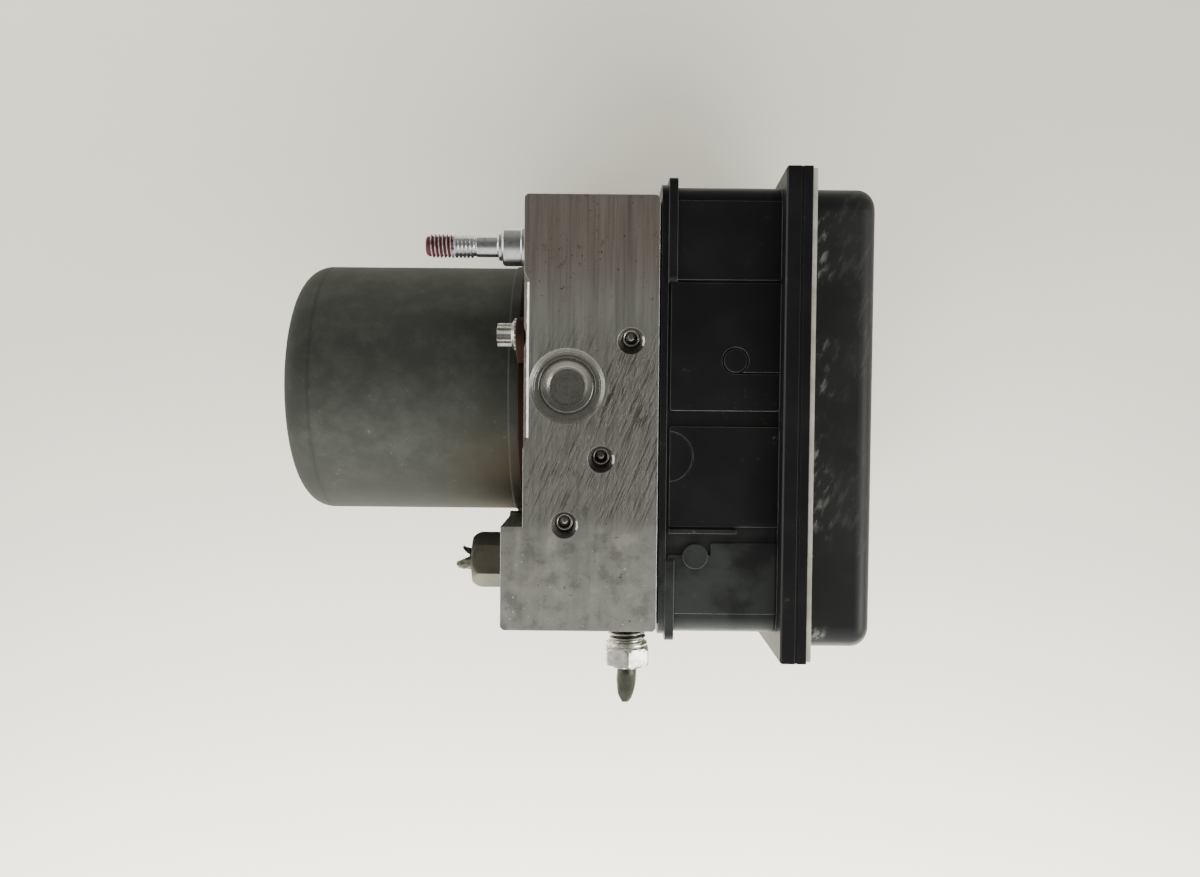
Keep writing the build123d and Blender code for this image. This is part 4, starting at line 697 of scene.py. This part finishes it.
def makeStuds(size=studSizes):
    mesh = bmesh.new()
    washer, washerEnd = size["washer"]
    collar, collarLength = size["collar"]
    ring, ringLength = size["ring"]
    shank, shankLength = size["shank"]
    major, minor, pitch = size["thread"]
    root = -size["rootLength"]
    collarEnd = washerEnd + collarLength
    ringEnd = collarEnd + ringLength
    threadStart = ringEnd + shankLength
    tip = threadStart + size["threadLength"]
    rings = [
        (root + 0.1, major - 0.5), (root + 0.5, major - 0.06), (-0.02, major - 0.06),
        (0.0, washer - 0.1), (0.12, washer), (washerEnd - 0.12, washer), (washerEnd, washer - 0.12),
        (washerEnd + 0.02, collar + 0.1), (washerEnd + 0.15, collar),
        (collarEnd - 0.45, collar), (collarEnd - 0.1, collar - 0.3), (collarEnd, collar - 0.45),
        (collarEnd + 0.02, ring - 0.35), (collarEnd + 0.25, ring - 0.35), (collarEnd + 0.35, ring),
        (ringEnd - 0.12, ring), (ringEnd, ring - 0.12), (ringEnd + 0.05, shank + 0.2),
        (ringEnd + 0.3, shank), (threadStart - 0.4, shank), (threadStart - 0.05, minor + 0.05),
    ]
    rings += threadRings(threadStart, tip - 0.5, major, minor, pitch)
    rings += [(tip - 0.3, minor), (tip, minor - 0.35)]
    for side in (1, -1):
        addTurned(mesh, (0, 0, side * size["pitch"] / 2 * mm), (-1, 0, 0), rings, around=40)
    return finishPiece("mountingStuds", mesh, "bright_zinc", ["mounting_studs"], finish=studZinc())


makeStuds()


# Motor screws

screwSizes = {
    "pitchRadius": 39.8, "angles": (72, 180, 288), "disc": (4.3, 1.4), "head": (3.05, 3.8),
    "lobes": 6, "lobeDepth": 0.34, "knurls": 24, "knurlDepth": 0.07, "shank": (2.35, 9.0),
}


def makeScrews(size=screwSizes):
    mesh = bmesh.new()
    motorY = middleOf("motor_shaft").y
    disc, discThick = size["disc"]
    head, headHeight = size["head"]
    shank, shankLength = size["shank"]
    start = -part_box("motor_screws")[0].x / mm - discThick - headHeight
    headStart = start + discThick
    top = headStart + headHeight

    def lobed(angle, along):
        lobes = 0.5 + 0.5 * math.cos(size["lobes"] * angle)
        edge = min(1.0, (top - along) / 0.5 + 0.78)
        return (head - size["lobeDepth"] * 2 * (1 - lobes)) * edge

    def knurled(angle, along):
        return disc + size["knurlDepth"] * math.cos(size["knurls"] * angle)

    rings = [
        (-shankLength, shank - 0.4), (-shankLength + 0.5, shank), (start, shank),
        (start + 0.01, disc - 0.15), (start + 0.2, knurled), (start + 0.62, knurled),
        (start + 0.7, disc - 0.3), (start + 0.95, disc - 0.45), (start + 1.05, disc - 0.8),
        (headStart - 0.05, head + 0.25), (headStart, lobed),
        (top - 1.2, lobed), (top - 0.5, lobed), (top - 0.15, lobed), (top, lobed),
        (top - 0.02, head * 0.55), (top - 0.6, head * 0.35),
    ]
    for angle in map(math.radians, size["angles"]):
        reach = size["pitchRadius"] * mm
        place = (0, motorY + reach * math.cos(angle), reach * math.sin(angle))
        addTurned(mesh, place, (-1, 0, 0), rings, around=96)
    return finishPiece("motorScrews", mesh, "bright_zinc", ["motor_screws"], sharp=24)


makeScrews()


# Pump plugs: staked in, with a turned face and a dish

plugSizes = {
    "radius": 9.48, "cone": (9.45, 8.65, 0.85), "groove": (7.05, 6.55, 0.9), "step": 0.25,
    "dish": (4.65, 1.3),
}


def makePumpPlug(node, name, finish, size=plugSizes):
    mesh = bmesh.new()
    low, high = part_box(node)
    centre = middleOf(node)
    up = 1 if high.z > 0 else -1
    face = max(up * low.z, up * high.z) / mm
    back = min(up * low.z, up * high.z) / mm
    radius = size["radius"]
    coneOuter, coneInner, coneDrop = size["cone"]
    outerGroove, innerGroove, grooveDepth = size["groove"]
    dish, dishDepth = size["dish"]
    floor = face - coneDrop
    grooveFloor = floor - grooveDepth
    step = floor - size["step"]
    dishFloor = floor - dishDepth
    rings = [
        (back, radius - 0.4), (back + 0.4, radius), (face - 0.06, radius), (face, coneOuter),
        (floor, coneInner), (floor, coneInner - 0.35),
        (floor - 0.05, coneInner - 0.4), (floor - 0.05, outerGroove + 0.15),
        (grooveFloor + 0.1, outerGroove), (grooveFloor, outerGroove - 0.1),
        (grooveFloor, innerGroove + 0.05), (floor - 0.06, innerGroove), (floor, innerGroove - 0.1),
        (step, dish + 0.5), (step - 0.12, dish + 0.25),
        (dishFloor + 0.15, dish + 0.03), (dishFloor, dish - 0.1), (dishFloor, 0.4),
    ]
    addTurned(mesh, (centre.x, centre.y, 0), (0, 0, up), rings, around=72)
    return finishPiece(name, mesh, slotOfNode[node], [node], finish=finish)


plugFinish = plugSteel()
for plugNumber in (1, 2):
    makePumpPlug(f"pump_plug_{plugNumber}", f"pumpPlug{plugNumber}", plugFinish)


# Ball plugs: a ball behind a staked lip. A place is depth and rise from the motor's axis.

ballSizes = {
    "radius": 1.75, "below": 1.7, "lip": 1.9, "lipThick": 0.30, "lipBelow": 1.15, "around": 32,
    "places": [(27.0, 11.5), (19.7, -18.3), (10.6, -35.0)],
}


def makeBallPlugs(size=ballSizes):
    mesh = bmesh.new()
    motorY = middleOf("motor_shaft").y
    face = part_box("valve_block")[1].z / mm
    radius, thick = size["radius"], size["lipThick"]
    centre = face - size["below"] - radius
    lipHeight = face - size["lipBelow"]
    ball = [(centre + radius * math.sin(angle), radius * math.cos(angle))
            for angle in map(math.radians, range(-60, 90, 10))]
    lip = [(lipHeight + thick * math.sin(angle), size["lip"] + thick * math.cos(angle))
           for angle in (fullTurn * step / 8 for step in range(8))]
    for depth, rise in size["places"]:
        place = (depth * mm, motorY + rise * mm, 0)
        addTurned(mesh, place, (0, 0, 1), ball + [(centre + radius, 0.05)], size["around"])
        addTurned(mesh, place, (0, 0, 1), lip, size["around"], ends="joined")
    return finishPiece("ballPlugs", mesh, "ball_steel", ["ball_plugs"], sharp=60)


makeBallPlugs()


# Nut in the upper wheel port, with its torn pipe

wheelNutSizes = {
    "flats": 11.0, "hexTurn": -0.05, "chamfers": (1.5, 0.8), "hexLength": 5.4, "collar": (5.4, 1.3),
    "thread": (4.96, 4.15, 1.25), "hole": 2.64,
}


def makeWheelNut(size=wheelNutSizes):
    mesh = bmesh.new()
    low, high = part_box("outlet_pipe_nut")
    centre = middleOf("outlet_pipe_nut")
    tip = -low.y / mm
    root = -high.y / mm
    hole = size["hole"]
    collar, collarLength = size["collar"]
    major, minor, pitch = size["thread"]
    hexStart = tip - size["hexLength"]
    threadEnd = hexStart - collarLength
    rings = [(root, hole)] + threadRings(root + 0.02, threadEnd, major, minor, pitch)
    rings += [(threadEnd + 0.02, minor + 0.2), (threadEnd + 0.3, collar - 0.35),
              (hexStart - collarLength * 0.55, collar), (hexStart - 0.25, collar),
              (hexStart - 0.02, collar - 0.2)]
    rings += hexRings(size["flats"], hexStart, tip, size["chamfers"], size["hexTurn"])
    rings += [(tip, hole + 0.5), (tip - 0.3, hole + 0.1), (tip - 0.9, hole)]
    addTurned(mesh, (centre.x, 0, centre.z), (0, -1, 0), rings, around=96, ends="joined")
    return finishPiece("wheelPortNut", mesh, "bright_zinc", ["outlet_pipe_nut"], sharp=28)


makeWheelNut()

# The pinch closes from its start to the torn tip
wheelPipeSizes = {
    "radius": 2.6, "pinchShare": 0.22, "pinchWide": 2.6, "pinchThick": (0.80, 0.9), "tipLean": 0.3,
    "tipWidth": 0.26, "dent": 0.04, "ragged": 0.9, "raggedRings": 4, "slitDeep": 1.2, "slitWide": 0.45,
    "around": 48, "steps": 26, "seed": 4,
}


def makeWheelPipe(size=wheelPipeSizes):
    mesh = bmesh.new()
    low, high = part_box("outlet_pipe_stub")
    centre = middleOf("outlet_pipe_nut")
    root = -high.y / mm
    tip = -low.y / mm
    nutEnd = -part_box("outlet_pipe_nut")[0].y / mm
    pinchStart = nutEnd + (tip - nutEnd) * size["pinchShare"]
    around, steps, seed = size["around"], size["steps"], size["seed"]
    thinning, bulge = size["pinchThick"]
    angles = [fullTurn * step / around for step in range(around)]
    profile = [root] + [nutEnd - 1 + (tip - nutEnd + 1) * step / steps for step in range(steps + 1)]
    rows = []
    for ringIndex, along in enumerate(profile):
        share = max(0.0, (along - pinchStart) / (tip - pinchStart))
        width = max(size["tipWidth"], math.sqrt(max(0.0, 1 - share ** size["pinchWide"])))
        thick = 1 - thinning * share ** bulge
        lean = -size["tipLean"] * share
        torn = max(0, ringIndex - steps + size["raggedRings"]) / 5
        row = []
        for angle in angles:
            across = size["radius"] * width * math.cos(angle)
            up = size["radius"] * thick * math.sin(angle)
            tooth = noise.noise(Vector((3 * math.cos(angle), 3 * math.sin(angle), seed)))
            ragged = min(0.0, (size["ragged"] * tooth - 0.35) * torn)
            grow = 1.0
            if along > nutEnd:
                grow += size["dent"] * noise.noise(Vector((across * 0.7, along * 0.5, up * 0.7 + seed)))
            x, y, z = across * grow + lean, along + ragged, up * grow
            row.append(mesh.verts.new((centre.x + x * mm, -y * mm, centre.z + z * mm)))
        rows.append(row)
    for lower, upper in zip(rows, rows[1:]):
        bridge(mesh, lower, upper)
    # the torn mouth turns in to a dark slit
    inner = []
    for vertex in rows[-1]:
        slit = Vector((centre.x - size["tipLean"] * mm, vertex.co.y + size["slitDeep"] * mm, centre.z))
        inner.append(mesh.verts.new(slit.lerp(vertex.co, size["slitWide"])))
    bridge(mesh, rows[-1], inner)
    mesh.faces.new(inner)
    mesh.faces.new(list(reversed(rows[0])))
    return finishPiece("wheelPortPipe", mesh, "pipe_steel", ["outlet_pipe_stub"], sharp=45)


makeWheelPipe()


# Nut in the upper port of the step, with what is left of its pipe

supplyNutSizes = {
    "flats": 13.0, "hexTurn": 0.66, "chamfers": (0.5, 2.6), "hole": 2.95, "threadRadius": 5.9,
}


def makeSupplyNut(size=supplyNutSizes):
    mesh = bmesh.new()
    low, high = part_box("inlet_pipe_nut")
    stepFace = -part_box("valve_block")[0].x / mm
    centre = middleOf("inlet_pipe_nut")
    tip = -low.x / mm
    root = -high.x / mm
    hole, thread = size["hole"], size["threadRadius"]
    rings = [(root, hole), (root, thread - 0.4), (root + 0.5, thread), (stepFace - 0.01, thread)]
    rings += hexRings(size["flats"], stepFace, tip, size["chamfers"], size["hexTurn"], steps=18)
    rings += [(tip - 0.02, hole + 0.9), (tip - 0.5, hole + 0.15), (tip - 1.4, hole)]
    addTurned(mesh, (0, centre.y, centre.z), (-1, 0, 0), rings, around=96, ends="joined")
    return finishPiece("supplyPortNut", mesh, "dark_nut_steel", ["inlet_pipe_nut"], sharp=28)


makeSupplyNut()

# A broad ragged tongue on the side away from the studs, and a shorter hook bent outwards above it
supplyPipeSizes = {
    "radius": 2.86, "wall": 0.6, "taper": 0.03, "wobble": 0.22, "inNut": 1.2,
    "tongueAt": 122, "tongueWide": 0.85, "tongueLong": 0.86,
    "hookAt": 18, "hookWide": 0.60, "hookLong": 0.50, "flare": 0.16,
    "teeth": ((4, 0.26), (11, 0.22)), "around": 88, "steps": 12, "seed": 11,
}


def makeSupplyPipe(size=supplyPipeSizes):
    mesh = bmesh.new()
    centre = middleOf("inlet_pipe_nut")
    nutEnd = -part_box("inlet_pipe_nut")[0].x / mm
    limit = -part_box("inlet_pipe_stub")[0].x / mm
    tongueAt, hookAt = math.radians(size["tongueAt"]), math.radians(size["hookAt"])
    start = nutEnd - size["inNut"]

    def tornLength(angle):
        tongue = size["tongueLong"] * math.exp(-((angle - tongueAt) / size["tongueWide"]) ** 4)
        hook = size["hookLong"] * math.exp(-((angle - hookAt) / size["hookWide"]) ** 4)
        tooth = 0.0
        for count, deep in size["teeth"]:
            around = Vector((count * math.cos(angle), count * math.sin(angle), size["seed"]))
            tooth += deep * noise.noise(around)
        return max(0.03, min(1.0, (tongue + hook) * (1 + tooth) + 0.05))

    outer, inner = [], []
    for step in range(size["steps"] + 1):
        share = step / size["steps"]
        outerRow, innerRow = [], []
        for turn in range(size["around"]):
            angle = fullTurn * turn / size["around"]
            cosine, sine = math.cos(angle), math.sin(angle)
            end = nutEnd + (limit - nutEnd) * tornLength(angle)
            along = start + (end - start) * share
            out = max(0.0, along - nutEnd)
            wobble = size["wobble"] * noise.noise(Vector((along, 2 * cosine, 2 * sine)))
            bent = size["flare"] * out * math.exp(-((angle - hookAt) / size["hookWide"]) ** 2)
            radius = size["radius"] * (1 - size["taper"] * out + bent) * (1 + wobble * min(1.0, out))
            wall = size["wall"] * (1 - 0.6 * share)
            for row, reach in ((outerRow, radius * mm), (innerRow, (radius - wall) * mm)):
                y, z = centre.y + reach * cosine, centre.z + reach * sine
                row.append(mesh.verts.new((-along * mm, y, z)))
        outer.append(outerRow)
        inner.append(innerRow)
    for rows in (outer, inner):
        for lower, upper in zip(rows, rows[1:]):
            bridge(mesh, lower, upper)
    bridge(mesh, outer[-1], inner[-1])
    bridge(mesh, outer[0], inner[0])
    return finishPiece("supplyPortPipe", mesh, "dark_nut_steel", ["inlet_pipe_stub"], sharp=50)


makeSupplyPipe()
print("pieces made")


# Band in the flange's groove, which leaves a faint line

flangeBandSizes = {
    "start": 2.8, "wide": 0.6, "shy": 0.10, "deep": 0.9, "earRise": 1.7, "earLength": 18.0,
}


def makeFlangeBand(size=flangeBandSizes):
    low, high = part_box("ecu_housing")
    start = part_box("cover_seal")[0].x - size["start"] * mm
    edge = high.y - size["earRise"] * mm
    ear = size["earLength"] * mm
    outline = [
        (low.y, low.z), (high.y, low.z), (edge, low.z + ear),
        (edge, high.z - ear), (high.y, high.z), (low.y, high.z),
    ]
    middleY, middleZ = (low.y + high.y) / 2, (low.z + high.z) / 2
    mesh = bmesh.new()
    loops = []
    for along in (start, start + size["wide"] * mm):
        for inset in (size["shy"] * mm, size["deep"] * mm):
            loops.append([mesh.verts.new((along, y + math.copysign(inset, middleY - y),
                                          z + math.copysign(inset, middleZ - z))) for y, z in outline])
    firstOut, firstIn, lastOut, lastIn = loops
    for one, other in ((firstOut, lastOut), (lastOut, lastIn), (lastIn, firstIn), (firstIn, firstOut)):
        bridge(mesh, one, other)
    return finishPiece("flangeBand", mesh, "housing_plastic")


makeFlangeBand()


# Cover: the solid's own shape, drawn out to its upper edge

coverSizes = {"drawnOut": 1.7, "above": -20}


def makeCover(size=coverSizes):
    mesh = bmesh.new()
    mesh.from_mesh(nodes["ecu_cover"].data)
    mesh.transform(nodes["ecu_cover"].matrix_world)
    for vertex in mesh.verts:
        if vertex.co.y > size["above"] * mm:
            vertex.co.y += size["drawnOut"] * mm
    return finishPiece("unitCover", mesh, "cover_plastic", ["ecu_cover"])


makeCover()


# Table, light and camera. The room's patches are a window to the right and a low one to the left.

stageLook = {
    "floor": rgb(0.560, 0.548, 0.475), "smudge": rgb(0.543, 0.531, 0.460), "floorSize": 3.0,
    "ceiling": rgb(0.145, 0.145, 0.135), "farWall": rgb(0.34, 0.34, 0.318),
    "nearWall": rgb(1.15, 1.15, 1.08), "wallTurn": (0.5, -0.8),
    "ceilingAxis": (0.0, 0.25, 0.97), "ceilingEdge": (0.60, 0.965),
    "patches": [
        {"towards": (0.85, -0.24, 0.46), "edge": (0.925, 0.975), "bright": rgb(8.0, 7.9, 7.5)},
        {"towards": (-0.99, 0.0, 0.12), "edge": (0.86, 0.97), "bright": rgb(3.4, 3.4, 3.25)},
    ],
    "lamps": [
        {"name": "nearLight", "power": 12.5, "size": (0.7, 0.2),
         "place": (0.03, -0.40, 0.08), "aim": (0.03, -0.24, -0.09)},
        {"name": "farLight", "power": 3.2, "size": (0.8, 0.2),
         "place": (-0.10, 0.36, 0.10), "aim": (-0.05, 0.12, -0.09)},
    ],
    "lampColour": (1.0, 0.985, 0.95),
}


def makeTable(look=stageLook):
    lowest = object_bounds()[0].z
    half = look["floorSize"] / 2
    corners = [(half * x, half * y, lowest) for x, y in ((-1, -1), (1, -1), (1, 1), (-1, 1))]
    data = bpy.data.meshes.new("table")
    data.from_pydata(corners, [], [(0, 1, 2, 3)])
    table = bpy.data.objects.new("table", data)
    bpy.context.scene.collection.objects.link(table)
    material, tree, shader = startFinish("paleTable", Roughness=0.55, Specular_IOR_Level=0.3)
    smudge = between(tree, cloud(tree, 9, detail=5, rough=0.6), 0.35, 0.7)
    feed(tree, shader.inputs["Base Color"], blendColour(tree, smudge, look["floor"], look["smudge"]))
    data.materials.append(material)


def makeRoom(look=stageLook):
    world = bpy.data.worlds.new("studio")
    world.use_nodes = True
    tree = world.node_tree
    split = addNode(tree, "SeparateXYZ")
    skyward = addNode(tree, "TexCoord").outputs["Generated"]
    feed(tree, split.inputs[0], skyward)
    nearness = between(tree, split.outputs[1], *look["wallTurn"])
    room = blendColour(tree, nearness, look["farWall"], look["nearWall"])
    overhead = facingTo(tree, skyward, look["ceilingAxis"])
    room = tint(tree, room, look["ceiling"], between(tree, overhead, *look["ceilingEdge"]))
    for patch in look["patches"]:
        facing = facingTo(tree, skyward, patch["towards"])
        room = tint(tree, room, patch["bright"], between(tree, facing, *patch["edge"]))
    feed(tree, tree.nodes["Background"].inputs["Color"], room)
    bpy.context.scene.world = world


def makeLamps(look=stageLook):
    # they light the table softly and leave no spot on the metal
    for entry in look["lamps"]:
        lamp = bpy.data.lights.new(entry["name"], "AREA")
        lamp.shape = "RECTANGLE"
        lamp.size, lamp.size_y = entry["size"]
        lamp.energy = entry["power"]
        lamp.color = look["lampColour"]
        lampObject = bpy.data.objects.new(entry["name"], lamp)
        lampObject.location = entry["place"]
        aim = Vector(entry["aim"]) - Vector(entry["place"])
        lampObject.rotation_euler = aim.to_track_quat("-Z", "Y").to_euler()
        lampObject.visible_glossy = False
        bpy.context.scene.collection.objects.link(lampObject)


makeTable()
makeRoom()
makeLamps()

# The focal length is in pixels of the 1200-pixel picture
cameraFit = {
    "place": (20.18, -41.27, 297.95), "tilt": (-0.0305, 0.0033, 0.0093), "focal": 1010.7,
    "imageWidth": 1200, "sensor": 36.0, "clipStart": 10,
}


def makeCamera(fit=cameraFit):
    data = bpy.data.cameras.new("camera")
    data.sensor_width = fit["sensor"]
    data.lens = fit["focal"] / fit["imageWidth"] * fit["sensor"]
    data.clip_start = fit["clipStart"] * mm
    camera = bpy.data.objects.new("camera", data)
    camera.location = Vector(fit["place"]) * mm
    camera.rotation_euler = fit["tilt"]
    bpy.context.scene.collection.objects.link(camera)
    bpy.context.scene.camera = camera


makeCamera()
